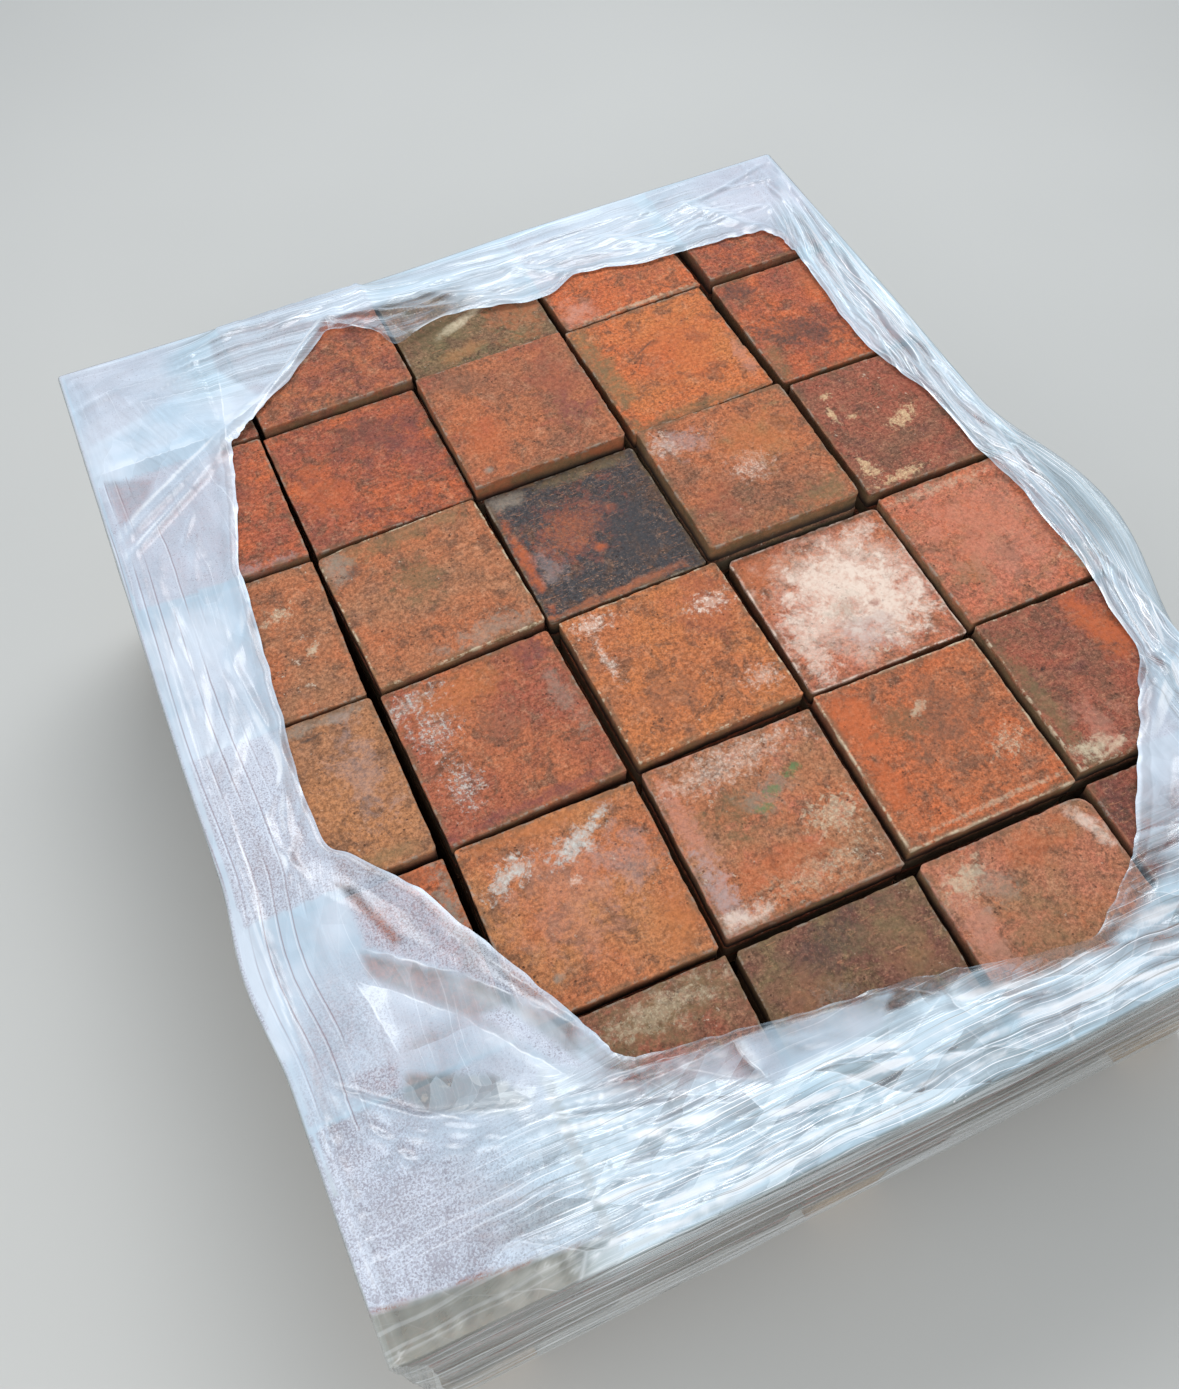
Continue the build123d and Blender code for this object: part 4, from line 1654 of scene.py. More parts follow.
def film_side():
    """The wraps round the load, from the pallet up to just under the rim."""
    rows = 56
    part = np.linspace(0, 1, rows)
    bulge = loose_bulge()
    foot = FILM_FOOT + 3 * MM + 3 * MM * soft_noise(RIM_DISTANCE, RIM_DISTANCE * 0, 0.09, 70)
    top = PILES_TOP_AT_RIM - 14 * MM
    height = foot[:, None] * (1 - part) + top[:, None] * part
    along = np.tile(RIM_DISTANCE[:, None], (1, rows))
    stand = 0.9 * MM * np.abs(soft_noise(along, height * 3, 0.06, 71))
    chance = np.random.default_rng(72)
    for _ in range(110):
        middle, level = chance.uniform(0, ROUND_LENGTH), chance.uniform(0.11, 0.47)
        half, rise = chance.uniform(0.06, 0.45), chance.uniform(-0.03, 0.03)
        start, end = (middle - half, level - rise), (middle + half, level + rise)
        tall, width = chance.uniform(0.8, 3.2) * MM, chance.uniform(4, 11) * MM
        for turn in (-ROUND_LENGTH, 0, ROUND_LENGTH):
            stand += crease(
                along, height, (start[0] + turn, start[1]), (end[0] + turn, end[1]), tall, width
            )
    stand = 2 * MM * np.tanh(stand / (2 * MM))
    # Crease slopes that face one way are painted bright, as if they caught the light: a painted
    # highlight.
    painted_facet_highlight = np.tanh(3 * np.gradient(stand, axis=1) / np.gradient(height, axis=1))
    below_rim = top[:, None] - height
    stand += bulge[:, None] * np.exp(-below_rim / 0.16) * 0.92
    stand -= 0.8 * MM
    clear_of_pallet = np.clip(RIM[:, 1] + 0.612, 0, 0.012) * (OUTWARD[:, 1] < -0.9)
    stand += smooth_round(clear_of_pallet, 12)[:, None] * np.clip(below_rim / 0.25, 0, 1)
    plan = RIM[:, None] + OUTWARD[:, None] * stand[..., None]
    return np.concatenate([plan, height[..., None]], -1), painted_facet_highlight


# Sharp creases in the film on top, read from the photograph: start and end in millimetres, how
# bright the line is, and how bright or clear the plane on the left of it is.
# The bright lines are painted highlights along the creases; a plane's brightness is painted light and
# shade of the facet beside the crease, and it also makes the film milkier or clearer.
SHARP_CREASES = [
    ((-429, -289), (-415, -373), 0.8, 0.5),
    ((-337, -328), (-415, -263), 0.7, -0.4),
    ((-293, -378), (-337, -328), 0.8, -0.4),
    ((-254, -425), (-293, -378), 0.9, -0.3),
    ((-353, -362), (-429, -289), 0.8, 0.4),
    ((-281, -460), (-353, -362), 0.7, 0.35),
    ((-313, -318), (-251, -427), 0.9, 0.3),
    ((-251, -427), (-236, -462), 0.9, 0.0),
    ((-360, -461), (-265, -467), 0.9, 0.2),
    ((-265, -467), (-141, -485), 1.0, -0.5),
    ((-141, -485), (-131, -522), 0.7, 0.5),
    ((-481, -372), (-426, -418), 0.7, 0.0),
    ((-426, -418), (-378, -453), 0.7, 0.0),
    ((-378, -453), (-328, -462), 0.6, 0.0),
    ((-270, -486), (-139, -488), 1.0, -0.4),
    ((-265, -477), (-183, -488), 0.7, 0.0),
    ((-125, -534), (-139, -488), 0.8, -0.4),
    ((-125, -534), (-13, -547), 1.0, 0.4),
    ((-206, -524), (-128, -539), 0.8, 0.0),
    ((-80, -530), (-11, -551), 0.9, 0.0),
    ((58, -525), (73, -560), 0.7, 0.6),
    ((80, -550), (149, -559), 1.0, -0.4),
    ((-282, -513), (-183, -544), 0.8, 0.3),
    ((-183, -544), (-44, -580), 0.8, -0.3),
    ((-284, -578), (-205, -588), 0.9, 0.0),
    ((-122, -592), (60, -606), 0.8, 0.3),
    ((-14, -565), (122, -597), 0.8, -0.3),
    ((128, -590), (271, -588), 0.8, 0.0),
    ((130, -540), (241, -556), 0.8, -0.3),
    ((160, -574), (212, -572), 0.8, 0.3),
    ((18, -504), (57, -527), 0.7, 0.3),
    ((-9, -556), (57, -527), 0.6, 0.4),
    ((-258, -581), (-85, -606), 0.8, 0.0),
    ((-510, 418), (-360, 420), 0.5, 0.3),
    ((-360, 420), (-284, 451), 0.5, 0.3),
    ((-328, 535), (-367, 330), 0.7, 0.25),
    ((-367, 330), (-405, 158), 0.6, 0.25),
    ((-181, 560), (-182, 514), 0.7, 0.4),
    ((-241, 495), (-178, 559), 0.7, 0.3),
    ((-335, 408), (-213, 501), 0.6, 0.3),
    ((-289, 435), (-159, 503), 0.6, 0.0),
    ((-159, 503), (-10, 491), 0.7, 0.0),
    ((-6, 500), (92, 468), 0.6, 0.0),
    ((65, 538), (249, 556), 0.6, 0.3),
    ((-417, -372), (-337, -376), 0.0, -0.3),
    ((-267, -472), (-200, -477), 0.8, 0.0),
    ((-203, -480), (-127, -532), 0.6, 0.0),
    ((-291, -532), (-118, -588), 0.7, 0.0),
    ((-107, -487), (18, -504), 0.6, 0.0),
    ((-297, -546), (-160, -584), 0.8, 0.0),
    ((168, -604), (259, -600), 0.7, 0.0),
    ((-181, 560), (-156, 501), 0.6, 0.0),
    ((-108, 522), (-90, 471), 0.5, -0.3),
    ((118, 527), (244, 506), 0.5, -0.3),
    ((-344, -428), (-349, -450), 0.4, 0.5),
    ((-335, -440), (-322, -460), 0.4, 0.4),
]


def clamped_line(tree, value, slope, level):
    """Level plus slope times the value, between nothing and one."""
    made = add_node(
        tree,
        "ShaderNodeMath",
        {0: value, 1: slope, 2: level},
        operation="MULTIPLY_ADD",
        use_clamp=True,
    )
    return made.outputs[0]


def crease_group():
    """A thin line between two places of the film, and the plane beside it."""
    tree = bpy.data.node_groups.new("film_crease", "ShaderNodeTree")
    for name in ("Place", "Middle", "Along", "Across"):
        group_input(tree, name, "NodeSocketVector")
    for name in ("Line", "Plane", "Lines", "Planes"):
        group_input(tree, name, "NodeSocketFloat", 0.0)
    for name in ("Lines", "Planes"):
        tree.interface.new_socket(name, in_out="OUTPUT", socket_type="NodeSocketFloat")
    given = add_node(tree, "NodeGroupInput").outputs

    def vector(operation, first, second):
        inputs = {0: first, 1: second}
        return add_node(tree, "ShaderNodeVectorMath", inputs, operation=operation).outputs

    local = vector("SUBTRACT", given["Place"], given["Middle"])["Vector"]
    along = vector("DOT_PRODUCT", local, given["Along"])["Value"]
    across = vector("DOT_PRODUCT", local, given["Across"])["Value"]
    taper = clamped_line(tree, maths(tree, "ABSOLUTE", along), -2.2, 2.2)
    line = clamped_line(tree, maths(tree, "ABSOLUTE", across), -0.91, 1.18)
    line = maths(tree, "MULTIPLY", maths(tree, "MULTIPLY", line, given["Line"]), taper)
    plane = clamped_line(tree, across, -0.0714, 1.43)
    plane = maths(tree, "MULTIPLY", plane, maths(tree, "GREATER_THAN", across, 0.0))
    plane = maths(tree, "MULTIPLY", maths(tree, "MULTIPLY", plane, given["Plane"]), taper)
    lines = maths(tree, "MAXIMUM", line, given["Lines"])
    planes = maths(tree, "ADD", plane, given["Planes"])
    add_node(tree, "NodeGroupOutput", {"Lines": lines, "Planes": planes})
    return tree


film_crease = crease_group()


def sharp_creases(tree, place):
    """The lines and the planes of all sharp creases. After every six the place is handed on with a
    height that hangs on them, so that they are worked out one after another: all at once they
    need more room than a shader has."""
    waver = noise(tree, place, 34.0, 2.0, 0.5)
    waver = maths(tree, "MULTIPLY", maths(tree, "SUBTRACT", waver, 0.5), 7 * MM)
    offset = add_node(tree, "ShaderNodeCombineXYZ", {0: waver, 1: waver}).outputs[0]
    moved = add_node(tree, "ShaderNodeVectorMath", {0: place, 1: offset}, operation="ADD").outputs[0]
    before = None
    for number, (start, end, line, plane) in enumerate(SHARP_CREASES):
        if number % 6 == 5:
            height = maths(tree, "ADD", before.outputs["Lines"], before.outputs["Planes"])
            height = maths(tree, "MULTIPLY", height, 0.001)
            offset = add_node(
                tree, "ShaderNodeCombineXYZ", {0: waver, 1: waver, 2: height}
            ).outputs[0]
            moved = add_node(
                tree, "ShaderNodeVectorMath", {0: place, 1: offset}, operation="ADD"
            ).outputs[0]
        step = (end[0] - start[0], end[1] - start[1])
        length = hypot(*step)
        along, across = (step[0] / length, step[1] / length), (-step[1] / length, step[0] / length)
        made = add_node(tree, "ShaderNodeGroup", node_tree=film_crease)
        tree.links.new(moved, made.inputs["Place"])
        middle = ((start[0] + end[0]) / 2 * MM, (start[1] + end[1]) / 2 * MM, 0)
        made.inputs["Middle"].default_value = middle
        made.inputs["Along"].default_value = (
            2 * along[0] / (length * MM), 2 * along[1] / (length * MM), 0
        )
        made.inputs["Across"].default_value = (across[0] / MM, across[1] / MM, 0)
        made.inputs["Line"].default_value = line
        made.inputs["Plane"].default_value = plane
        if before:
            tree.links.new(before.outputs["Lines"], made.inputs["Lines"])
            tree.links.new(before.outputs["Planes"], made.inputs["Planes"])
        before = made
    broken = between(tree, noise(tree, place, 60.0, 3.0, 0.6), 0.38, 0.6, 0.25, 1.0)
    return maths(tree, "MULTIPLY", before.outputs["Lines"], broken), before.outputs["Planes"]


def film_material(name, on_top):
    """Clear film with a pale blue-white colour that is partly its own milkiness and partly a
    painted reflection of sky light, dust specks where it lies on the tiles, stretch marks along
    it and crumpled facets; its glints, crest lines and lit and shaded facets are painted light
    and shade. The strip map runs round the load and then across."""
    material, tree, shader = new_material(name)
    strip = add_node(tree, "ShaderNodeUVMap", uv_map="strip").outputs["UV"]
    place = object_place(tree)
    touch = attribute(tree, "touch")
    veil = attribute(tree, "veil")
    dust = attribute(tree, "dust")
    crumpled = attribute(tree, "crumpled")
    painted_facet_highlight = attribute(tree, "painted_facet_highlight")

    sway = maths(tree, "MULTIPLY", noise(tree, strip, 6.0, 2.0), 0.03 if on_top else 0.012)
    sway = add_node(tree, "ShaderNodeCombineXYZ", {1: sway}).outputs[0]
    swayed = add_node(tree, "ShaderNodeVectorMath", {0: strip, 1: sway}, operation="ADD").outputs[0]
    marks = plain_marks = noise(tree, scaled(tree, swayed, (3.0, 330, 1)), 1.0, 3.0, 0.6)
    shade = attribute(tree, "shade")
    wraps = noise(tree, scaled(tree, swayed, (0.9, 85, 1)), 1.0, 3.0, 0.62)
    hanging = between(tree, shade, 0.5, 0.7)
    wraps = maths(tree, "MULTIPLY", maths(tree, "SUBTRACT", wraps, marks), hanging)
    marks = maths(tree, "ADD", marks, wraps)
    broad_marks = noise(tree, scaled(tree, swayed, (1.6, 60, 1)), 1.0, 3.0, 0.65)
    cloud = noise(tree, place, 9.0, 3.0, 0.55)
    # Glints along the stretch marks and fine hair lines are painted highlights of sky light; on film
    # hanging down the sides they are wider and brighter.
    glint = between(tree, marks, 0.60, 0.70)
    painted_streak_glint = maths(tree, "MULTIPLY", between(tree, marks, 0.52, 0.62), shade)
    glint = maths(tree, "MAXIMUM", glint, painted_streak_glint)
    if on_top:
        painted_hair_glint = noise(tree, scaled(tree, swayed, (4.0, 560, 1)), 1.0, 2.0, 0.5)
        painted_hair_glint = maths(tree, "MULTIPLY", between(tree, painted_hair_glint, 0.60, 0.65), attribute(tree, "streaky"))
        glint = maths(tree, "MAXIMUM", glint, painted_hair_glint)

    bent = noise(tree, strip, 11.0, 2.0, 0.5)
    bent = maths(tree, "MULTIPLY", maths(tree, "SUBTRACT", bent, 0.5), 0.025)
    offset = add_node(tree, "ShaderNodeCombineXYZ", {0: bent, 1: bent}).outputs[0]
    bent = add_node(tree, "ShaderNodeVectorMath", {0: strip, 1: offset}, operation="ADD").outputs[0]

    def facets(scale, turn):
        cells = scaled(tree, scaled(tree, bent, (1, 1, 1), turn), scale)
        settings = {"Vector": cells, "Scale": 1.0}
        random = add_node(tree, "ShaderNodeTexVoronoi", settings, voronoi_dimensions="2D")
        brink = add_node(
            tree,
            "ShaderNodeTexVoronoi",
            settings,
            feature="DISTANCE_TO_EDGE",
            voronoi_dimensions="2D",
        )
        value = add_node(tree, "ShaderNodeSeparateColor", {0: random.outputs["Color"]})
        line = between(tree, brink.outputs["Distance"], 0.0, 0.035, 1.0, 0.0)
        line = maths(tree, "MULTIPLY", line, between(tree, value.outputs[1], 0.5, 0.7))
        return value.outputs[0], line

    large, large_line = facets((10, 34, 1), 0.30)
    small, small_line = facets((17, 70, 1), -0.34)
    # Bright lines along the facet edges, and along the sharp creases below: painted highlights on the
    # crests.
    crest = maths(tree, "MAXIMUM", large_line, maths(tree, "MULTIPLY", small_line, 0.35))
    crest = maths(tree, "MULTIPLY", crest, maths(tree, "MULTIPLY", crumpled, 0.4))
    facet = maths(tree, "ADD", large, maths(tree, "MULTIPLY", small, 0.7))
    facet = maths(tree, "SUBTRACT", facet, 0.85)
    facet = maths(tree, "MULTIPLY", facet, crumpled)
    if on_top:
        lines, planes = sharp_creases(tree, place)
        crest = maths(tree, "MAXIMUM", crest, lines)
        facet = maths(tree, "ADD", facet, planes)

    specks = noise(tree, place, 480.0, 3.0, 0.6)
    speck_zone = noise(tree, place, 26.0, 3.0, 0.6)
    speck_edge = maths(tree, "SUBTRACT", 0.70, maths(tree, "MULTIPLY", dust, 0.20))
    speck_sum = maths(tree, "ADD", specks, maths(tree, "MULTIPLY", speck_zone, 0.22))
    speck_sum = maths(tree, "SUBTRACT", speck_sum, 0.11)
    speck = between(tree, speck_sum, speck_edge, maths(tree, "ADD", speck_edge, 0.05))
    speck = maths(tree, "MULTIPLY", speck, touch)

    # The pale blue-white base colour is partly the film's own milkiness and partly a painted
    # reflection of the sky.
    colour = blend(
        tree, between(tree, cloud, 0.38, 0.62), tone(194, 215, 232), tone(214, 225, 238)
    )
    lying = maths(tree, "MULTIPLY", touch, 0.7)
    colour = blend(tree, lying, colour, tone(206, 210, 224))
    # Facets are painted lighter and darker by their cell: painted light and shade of the crumpled
    # film.
    painted_lit_facet = maths(tree, "MULTIPLY", between(tree, facet, 0.25, 0.6), 0.7)
    colour = blend(tree, painted_lit_facet, colour, tone(240, 246, 252))
    painted_shaded_facet = maths(tree, "MULTIPLY", between(tree, facet, -0.2, -0.5), 0.5)
    colour = blend(tree, painted_shaded_facet, colour, tone(168, 178, 184))
    # Where shade is set the film is greyed: painted shade on the hanging sides, the drop at the broken
    # corner and over joints.
    colour = blend(tree, shade, colour, tone(160, 162, 152))
    grain = noise(tree, place, 620.0, 3.0, 0.75)
    dusted = maths(tree, "MULTIPLY", dust, touch)
    pale_grain = maths(tree, "MULTIPLY", between(tree, grain, 0.50, 0.62, 0.0, 0.8), dusted)
    colour = blend(tree, pale_grain, colour, tone(224, 232, 244))
    dark_grain = maths(tree, "MULTIPLY", between(tree, grain, 0.50, 0.38, 0.0, 0.55), dusted)
    colour = blend(tree, dark_grain, colour, tone(158, 154, 172))
    colour = blend(tree, maths(tree, "MULTIPLY", speck, 0.45), colour, tone(146, 137, 150))
    soiled = maths(tree, "MULTIPLY", attribute(tree, "soil"), between(tree, grain, 0.36, 0.52))
    colour = blend(tree, soiled, colour, tone(136, 88, 70))
    streaky = attribute(tree, "streaky")
    if on_top:
        # A bluer tint on the streaky bands: painted reflection of the sky.
        painted_sky_blue = maths(tree, "MULTIPLY", streaky, 0.45)
        colour = blend(tree, painted_sky_blue, colour, tone(190, 220, 232))
    glint = maths(tree, "MULTIPLY", glint, between(tree, streaky, 0.0, 1.0, 0.25, 1.0))
    # The painted highlights of glints, crest lines and facets that face the light lift the colour to
    # near white.
    bright = maths(tree, "MAXIMUM", glint, crest)
    bright = maths(tree, "MAXIMUM", bright, between(tree, painted_facet_highlight, 0.25, 0.9))
    colour = blend(tree, bright, colour, tone(246, 250, 255))
    # Dark grey lines along the stretch marks: painted shade.
    painted_streak_shade = maths(tree, "MULTIPLY", between(tree, marks, 0.44, 0.34, 0.0, 0.5), streaky)
    colour = blend(tree, painted_streak_shade, colour, tone(124, 124, 118))
    across = add_node(tree, "ShaderNodeSeparateXYZ", {0: strip}).outputs[1]
    across = maths(tree, "ADD", across, maths(tree, "MULTIPLY", noise(tree, strip, 3.0, 1.0), 0.02))
    across = maths(tree, "FRACT", maths(tree, "MULTIPLY", across, 70.0))
    grooved = maths(
        tree,
        "MULTIPLY",
        attribute(tree, "grooved"),
        between(tree, noise(tree, scaled(tree, strip, (5, 40, 1)), 1.0, 2.0), 0.4, 0.55),
    )
    # Grooves along the left band are drawn as a pale line with a darker line beside it: a painted
    # highlight and painted shade.
    painted_groove_highlight = maths(tree, "MULTIPLY", between(tree, across, 0.12, 0.04, 0.0, 0.7), grooved)
    beside = between(tree, across, 0.12, 0.16, 0.0, 1.0)
    beside = maths(tree, "MULTIPLY", beside, between(tree, across, 0.26, 0.18, 0.0, 1.0))
    beside = maths(tree, "MULTIPLY", beside, grooved)
    colour = blend(tree, painted_groove_highlight, colour, tone(222, 230, 240))
    colour = blend(tree, maths(tree, "MULTIPLY", beside, 0.7), colour, tone(152, 136, 146))
    tree.links.new(colour, shader.inputs["Base Color"])

    alpha = maths(tree, "MULTIPLY", maths(tree, "SUBTRACT", cloud, 0.5), 0.35)
    alpha = maths(tree, "ADD", veil, alpha)
    marked = maths(tree, "MULTIPLY", between(tree, streaky, 0.0, 1.0, 0.2, 1.2), broad_marks)
    marked = maths(tree, "SUBTRACT", marked, between(tree, streaky, 0.0, 1.0, 0.1, 0.6))
    for value, amount in (
        (marked, 1.1),
        (glint, 0.26),
        (facet, 0.34),
        (crest, 0.2),
        (painted_groove_highlight, 0.1),
        (painted_facet_highlight, 0.26),
        (speck, -0.1),
        (soiled, 0.4),
    ):
        alpha = maths(tree, "ADD", alpha, maths(tree, "MULTIPLY", value, amount))
    edge = attribute(tree, "edge")
    if on_top:
        alpha = maths(tree, "ADD", alpha, between(tree, edge, 0.972, 0.99, 0.0, 0.22))
        alpha = maths(tree, "ADD", alpha, between(tree, edge, 0.925, 0.94, 0.0, -0.16))
    else:
        alpha = maths(tree, "ADD", alpha, between(tree, edge, 0.035, 0.0, 0.0, 0.5))
    alpha = maths(tree, "MAXIMUM", alpha, 0.1)
    alpha = maths(tree, "MINIMUM", alpha, 0.96)
    tree.links.new(alpha, shader.inputs["Alpha"])

    rough = between(tree, streaky, 0.0, 1.0, 0.26, 0.14)
    tree.links.new(rough, shader.inputs["Roughness"])
    pulled = between(tree, streaky, 0.0, 1.0, 0.15, 0.75)
    fine = bump(tree, plain_marks, 0.0009, pulled)
    broad = bump(tree, broad_marks, 0.003, pulled, fine)
    tree.links.new(broad, shader.inputs["Normal"])
    shader.inputs["IOR"].default_value = 1.5
    shader.inputs["Specular IOR Level"].default_value = 0.8
    return material


def strip_map(points, on_top):
    """Distances along and across the film. Those of the near band on top run straight along the
    near side, so that its marks do too."""
    steps = np.linalg.norm(np.diff(points, axis=1), axis=-1)
    across = np.concatenate([np.zeros((len(points), 1)), np.cumsum(steps, 1)], 1)
    distance = np.append(RIM_DISTANCE, ROUND_LENGTH)
    along = np.tile(distance[:, None], (1, points.shape[1]))
    if not on_top:
        return np.stack([along, across], -1)
    x, y, z = np.moveaxis(points, -1, 0)
    corner = RIM_DISTANCE[np.hypot(RIM[:, 0] + 0.513, RIM[:, 1] + 0.604).argmin()]
    first_half = np.arange(len(points)) < len(points) / 2
    straight = corner + x + 0.513 - ROUND_LENGTH * first_half[:, None]
    above_rim = z > points[:, :1, 2] + SIDE_DROPS[-1] - 2 * MM
    near = np.clip((-0.43 - y) / 0.04, 0, 1) * above_rim
    along += near * (straight - along)
    across += near * (SIDE_DROPS[-1] + y + 0.608 - across)
    return np.stack([along, across], -1)


def film_piece(name, points, values, on_top):
    """An open sheet from rows of points, closed round the load where its ends meet."""
    points = np.concatenate([points, points[:1]], 0)
    round_count, rows = points.shape[:2]
    index = np.arange(round_count * rows).reshape(round_count, rows)
    faces = np.stack(
        [index[:-1, :-1], index[1:, :-1], index[1:, 1:], index[:-1, 1:]], -1
    ).reshape(-1, 4)
    material = film_material(f"clear_film_{name[-4:].strip('_')}", on_top)
    piece = mesh_piece(name, points.reshape(-1, 3), faces.tolist(), material)
    for key, data in values.items():
        data = np.concatenate([data, data[:1]], 0)
        store_values(piece.data, key, data.reshape(-1))
    strip = strip_map(points, on_top).reshape(-1, 2)
    corner = np.zeros(len(piece.data.loops), np.int32)
    piece.data.loops.foreach_get("vertex_index", corner)
    layer = piece.data.uv_layers.new(name="strip")
    layer.data.foreach_set("uv", strip[corner].astype(np.float32).ravel())
    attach(piece, "root")
    return piece


def veil_on_top(x, y, edge):
    """How milky the film on top is: thick on the left and far bands, clear near the torn edge of
    the near band and on the loose flap."""
    veil = np.full(x.shape, 0.80)
    near = np.clip((-0.42 - y) / 0.08, 0, 1) * np.clip((x + 0.30) / 0.08, 0, 1)
    veil -= near * (0.04 + 0.50 * np.clip((edge - 0.70) / 0.14, 0, 1))
    right = np.clip((x - 0.42) / 0.03, 0, 1) * np.clip((0.30 - y) / 0.1, 0, 1)
    veil -= 0.10 * right
    flap = np.clip((x - 0.512) / 0.01, 0, 1) * (np.abs(y + 0.1) < 0.2)
    veil -= 0.30 * flap
    clear_from, clear_to = np.clip((x + 0.20) / 0.02, 0, 1), np.clip((0.02 - x) / 0.06, 0, 1)
    veil -= 0.56 * clear_from * clear_to * np.clip((0.555 - y) / 0.012, 0, 1) * (y > 0.44)
    speckled_red = bump_along(x, -0.26, 0.07) * bump_along(y, 0.55, 0.05)
    veil -= 0.30 * speckled_red
    corner = bump_along(x, -0.33, 0.12) * bump_along(y, -0.36, 0.14)
    veil -= 0.10 * corner
    return veil


def soft_zone(x, y, corners, blur=7 * MM):
    """One inside a convex outline given in millimetres, falling to nothing across its edge."""
    inside = np.ones(x.shape)
    corners = np.array(corners) * MM
    middle = corners.mean(0)
    for start, end in zip(corners, np.roll(corners, -1, 0)):
        along = end - start
        away = ((x - start[0]) * along[1] - (y - start[1]) * along[0]) / hypot(*along)
        side = (middle[0] - start[0]) * along[1] - (middle[1] - start[1]) * along[0]
        inside = np.minimum(inside, np.clip(0.5 + away * np.sign(side) / blur, 0, 1))
    return inside


# Zones of the film on top, read from the photograph: outline in millimetres and what it sets there
FILM_ZONES = [
    (
        ((-411, -159), (-359, -209), (-318, -285), (-339, -325), (-409, -264)),
        dict(touch=1, dust=0.9, veil=0.70, crumpled=0, shade=0),
    ),
    (
        ((-318, -285), (-268, -387), (-306, -369), (-339, -325)),
        dict(touch=1, dust=0.8, veil=0.64, crumpled=0, shade=0),
    ),
    (
        ((-414, -269), (-338, -330), (-263, -420), (-272, -445), (-352, -360), (-416, -292)),
        dict(touch=0.2, dust=0.3, veil=0.56, shade=0.25),
    ),
    (
        ((-337, -370), (-313, -372), (-265, -456), (-289, -441)),
        dict(touch=1, dust=0.7, veil=0.86, shade=0),
    ),
    (
        ((-416, -390), (-345, -425), (-322, -460), (-345, -463), (-407, -432), (-426, -410)),
        dict(touch=0, veil=0.62, shade=0.35, crumpled=0.9),
    ),
    (((-414, -194), (-400, -203), (-376, -273), (-385, -275)), dict(veil=0.28)),
    (
        ((-465, -371), (-421, -377), (-426, -410), (-459, -387)),
        dict(touch=1, dust=1, veil=0.72),
    ),
    (
        ((-139, -488), (-107, -487), (17, -505), (-11, -530), (-125, -534)),
        dict(veil=0.66, crumpled=0.1, streaky=0.1),
    ),
    (((-203, -480), (-141, -489), (-126, -532), (-174, -505)), dict(veil=0.42, streaky=0.3)),
    (((32, -533), (57, -527), (73, -560), (10, -560)), dict(veil=0.92, crumpled=0.1)),
    (((-501, 403), (-447, 384), (-473, 340), (-499, 330)), dict(touch=0.8, veil=0.60)),
    (((-325, 579), (-182, 556), (-236, 499), (-341, 459)), dict(touch=0.8, dust=0.5, veil=0.68)),
    (((-178, 554), (-109, 520), (-152, 499), (-182, 514)), dict(veil=0.42)),
    (
        ((-505, 468), (-332, 524), (-290, 448), (-360, 420), (-510, 418)),
        dict(touch=0, veil=0.88),
    ),
]

top_points, top_values = film_top()
x, y = top_points[..., 0], top_points[..., 1]
PILES_TOP_AT_RIM = top_points[:, len(SIDE_DROPS), 2]
top_values["veil"] = veil_on_top(x, y, top_values["edge"])
top_values["veil"][:, : len(SIDE_DROPS)] = 0.5
corner_dust = np.exp(-(((x + 0.45) / 0.15) ** 2 + ((y + 0.52) / 0.12) ** 2))
left_dust = np.clip((-0.40 - x) / 0.03, 0, 1) * np.clip((0.1 - y) / 0.2, 0, 1)
top_values["dust"] = np.clip(0.4 + 0.5 * left_dust + 0.6 * corner_dust, 0, 1)
part_of_break = np.clip((x - PILES[BROKEN][0][0]) / TILE_SIDE + 0.5, -0.2, 1.1)
break_line = PILES[BROKEN][0][1] - TILE_SIDE / 2
break_line = break_line + BROKEN_LEFT + (BROKEN_RIGHT - BROKEN_LEFT) * part_of_break
past_break = break_line - y
broken_drop = np.clip(past_break / (3 * MM), 0, 1) * (x < -0.30) * (y < -0.5)
broken_drop *= np.clip((-0.30 - x) / 0.05, 0, 1)
top_values["veil"] -= 0.30 * broken_drop
top_values["dust"] *= 1 - broken_drop
top_values["touch"] *= 1 - 0.8 * broken_drop
# Shade greys the film: painted shade over joints in the near corner, on the drop at the broken corner
# and on the rows that hang over the rim.
in_corner = np.clip((-0.18 - x) / 0.03, 0, 1) * np.clip((-0.43 - y) / 0.03, 0, 1)
joint_painted_shade = top_values.pop("spans") * in_corner * (1 - broken_drop)
top_values["shade"] = 0.9 * broken_drop + 0.4 * joint_painted_shade
top_values["shade"][:, : len(SIDE_DROPS)] = 0.75
ragged = 2.5 * MM * soft_noise(x, y, 0.008, 90)
brown_line = np.clip(1 - np.abs(past_break + ragged) / (3.5 * MM), 0, 1) * (x < -0.30)
brown_line *= 0.4 + 0.6 * (soft_noise(x, y, 0.03, 91) > -0.2)
streak_patch = bump_along(x, -0.35, 0.1) * bump_along(y, -0.53, 0.06)
streak_patch *= np.clip(1.8 * soft_noise(x * 0.12, y + 0.3 * x, 0.004, 92), 0, 1)
top_values["soil"] = np.clip(0.9 * brown_line + 0.6 * streak_patch, 0, 1)
near_band = np.clip((-0.44 - y) / 0.06, 0, 1)
inward = np.clip((x + 0.42) / 0.1, 0, 1)
top_values["crumpled"] = 0.22 + 0.78 * near_band * inward
right_band = np.clip((x - 0.42) / 0.03, 0, 1) * np.clip((0.52 - y) / 0.05, 0, 1)
far_band = np.clip((y - 0.46) / 0.03, 0, 1) * np.clip((0.40 - np.abs(x)) / 0.05, 0, 1)
top_values["streaky"] = np.clip(near_band * inward + right_band + 0.6 * far_band, 0, 1)
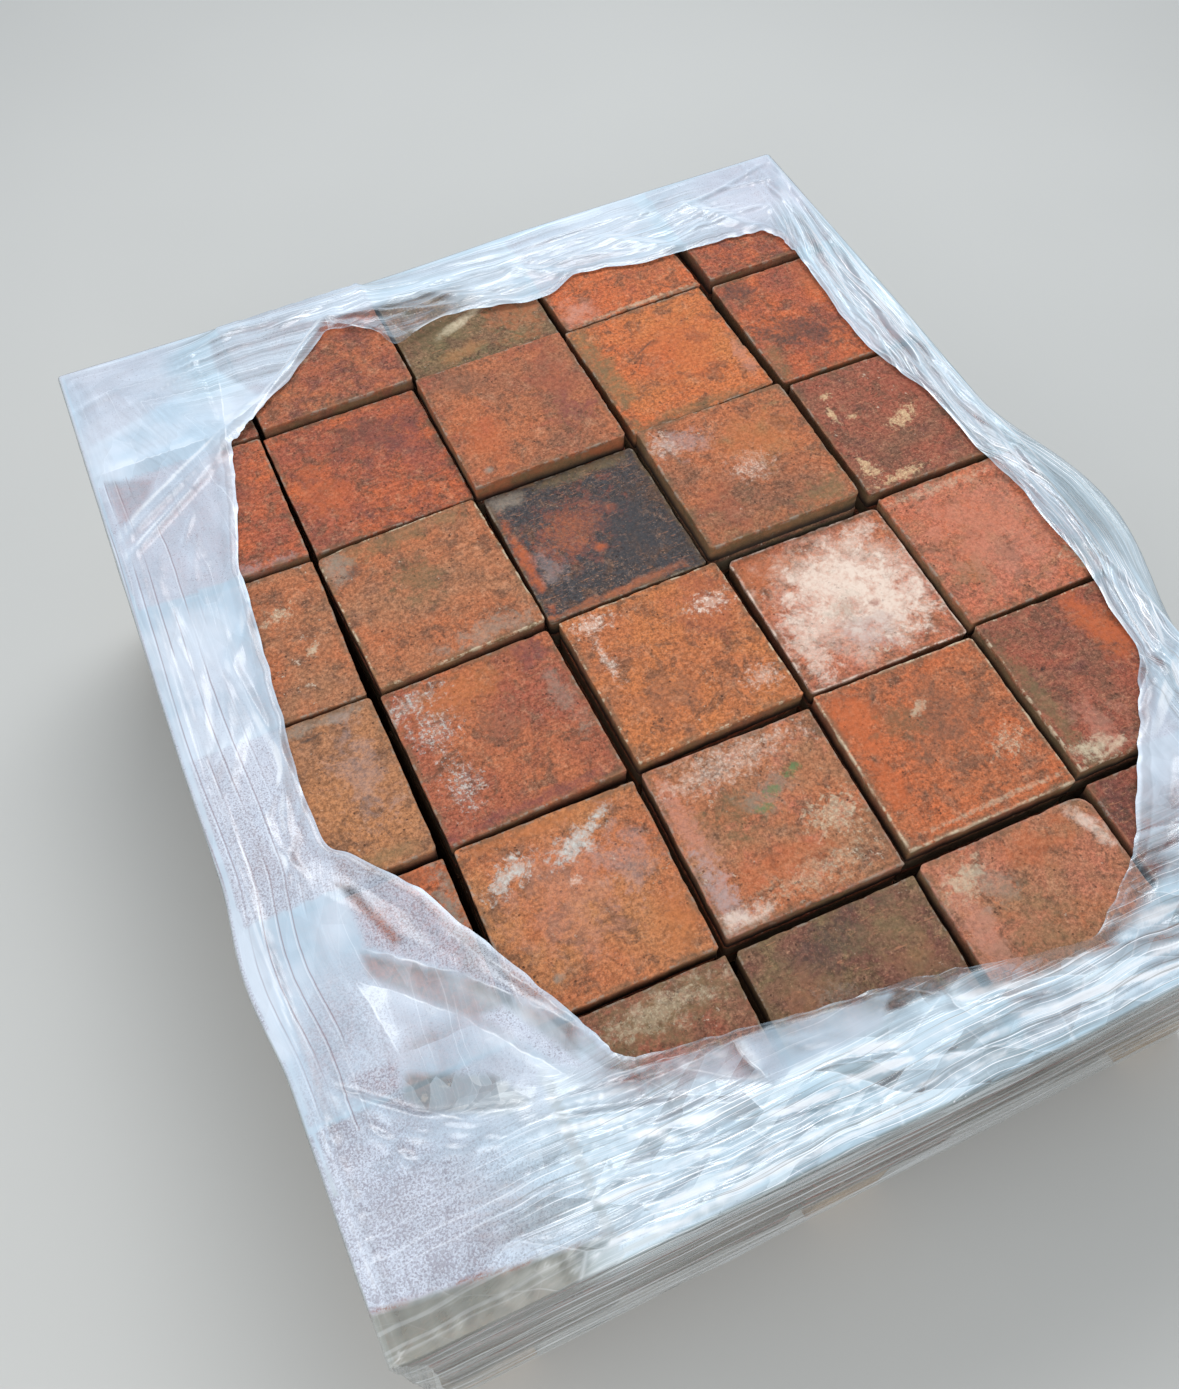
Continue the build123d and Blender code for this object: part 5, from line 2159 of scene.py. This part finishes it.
top_values["streaky"] *= (1 - broken_drop) * (1 - 0.6 * joint_painted_shade)
top_values["grooved"] = np.clip((-0.44 - x) / 0.01, 0, 1) * (y > -0.42) * (y < 0.4)
top_values["grooved"][:, : len(SIDE_DROPS)] = 0
for corners, settings in FILM_ZONES:
    within = soft_zone(x, y, corners)
    within[:, : len(SIDE_DROPS)] = 0
    for key, value in settings.items():
        top_values[key] += within * (value - top_values[key])
film_on_top = film_piece("stretch_film_top", top_points, top_values, True)
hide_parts("stretch_film")

side_points, side_painted_facet_highlight = film_side()
flat = side_points[..., 2]
side_values = {
    "touch": np.full(flat.shape, 0.35),
    "veil": np.tile(np.where(OUTWARD[:, 1:] < -0.7, 0.56, 0.44), (1, flat.shape[1])),
    "dust": np.full(flat.shape, 0.3),
    "crumpled": np.full(flat.shape, 0.15),
    "painted_facet_highlight": side_painted_facet_highlight,
    # The film down the sides is greyed throughout: painted shade.
    "shade": np.full(flat.shape, 0.75),
    "streaky": np.full(flat.shape, 0.8),
    "soil": np.zeros(flat.shape),
    "grooved": np.zeros(flat.shape),
    "edge": np.tile(np.linspace(0, 1, flat.shape[1]), (len(flat), 1)),
}
film_on_side = film_piece("stretch_film_side", side_points, side_values, False)
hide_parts("stretch_film")


def sheet_area(piece):
    return sum(polygon.area for polygon in piece.data.polygons)


print("film areas", sheet_area(film_on_top), sheet_area(film_on_side))


# Floor and lights
def studio():
    floor = mesh_piece(
        "studio_floor",
        [(-30, -30, 0), (30, -30, 0), (30, 30, 0), (-30, 30, 0)],
        [(0, 1, 2, 3)],
        None,
    )
    material, tree, shader = new_material("studio_floor")
    cast = noise(tree, object_place(tree), 1.5, 2.0)
    colour = blend(tree, cast, tone(196, 196, 193), tone(202, 202, 199))
    tree.links.new(colour, shader.inputs["Base Color"])
    shader.inputs["Roughness"].default_value = 0.9
    floor.data.materials.clear()
    floor.data.materials.append(material)

    world = bpy.data.worlds.new("soft_sky")
    world.use_nodes = True
    world.node_tree.nodes["Background"].inputs["Color"].default_value = (0.88, 0.94, 1.0, 1)
    world.node_tree.nodes["Background"].inputs["Strength"].default_value = 0.58
    bpy.context.scene.world = world

    def area(name, place, target, size, power, colour):
        data = bpy.data.lights.new(name, "AREA")
        data.shape = "SQUARE"
        data.size = size
        data.energy = power
        data.color = colour
        lamp = bpy.data.objects.new(name, data)
        lamp.location = place
        lamp.rotation_euler = (Vector(target) - Vector(place)).to_track_quat("-Z", "Y").to_euler()
        bpy.context.scene.collection.objects.link(lamp)

    area("key", (0.7, 1.5, 3.2), (0, 0, 0.45), 1.6, 68, (0.96, 0.98, 1.0))
    area("fill", (-1.5, -2.3, 1.9), (0, -0.2, 0.3), 2.0, 40, (1.0, 0.98, 0.96))


studio()

import json
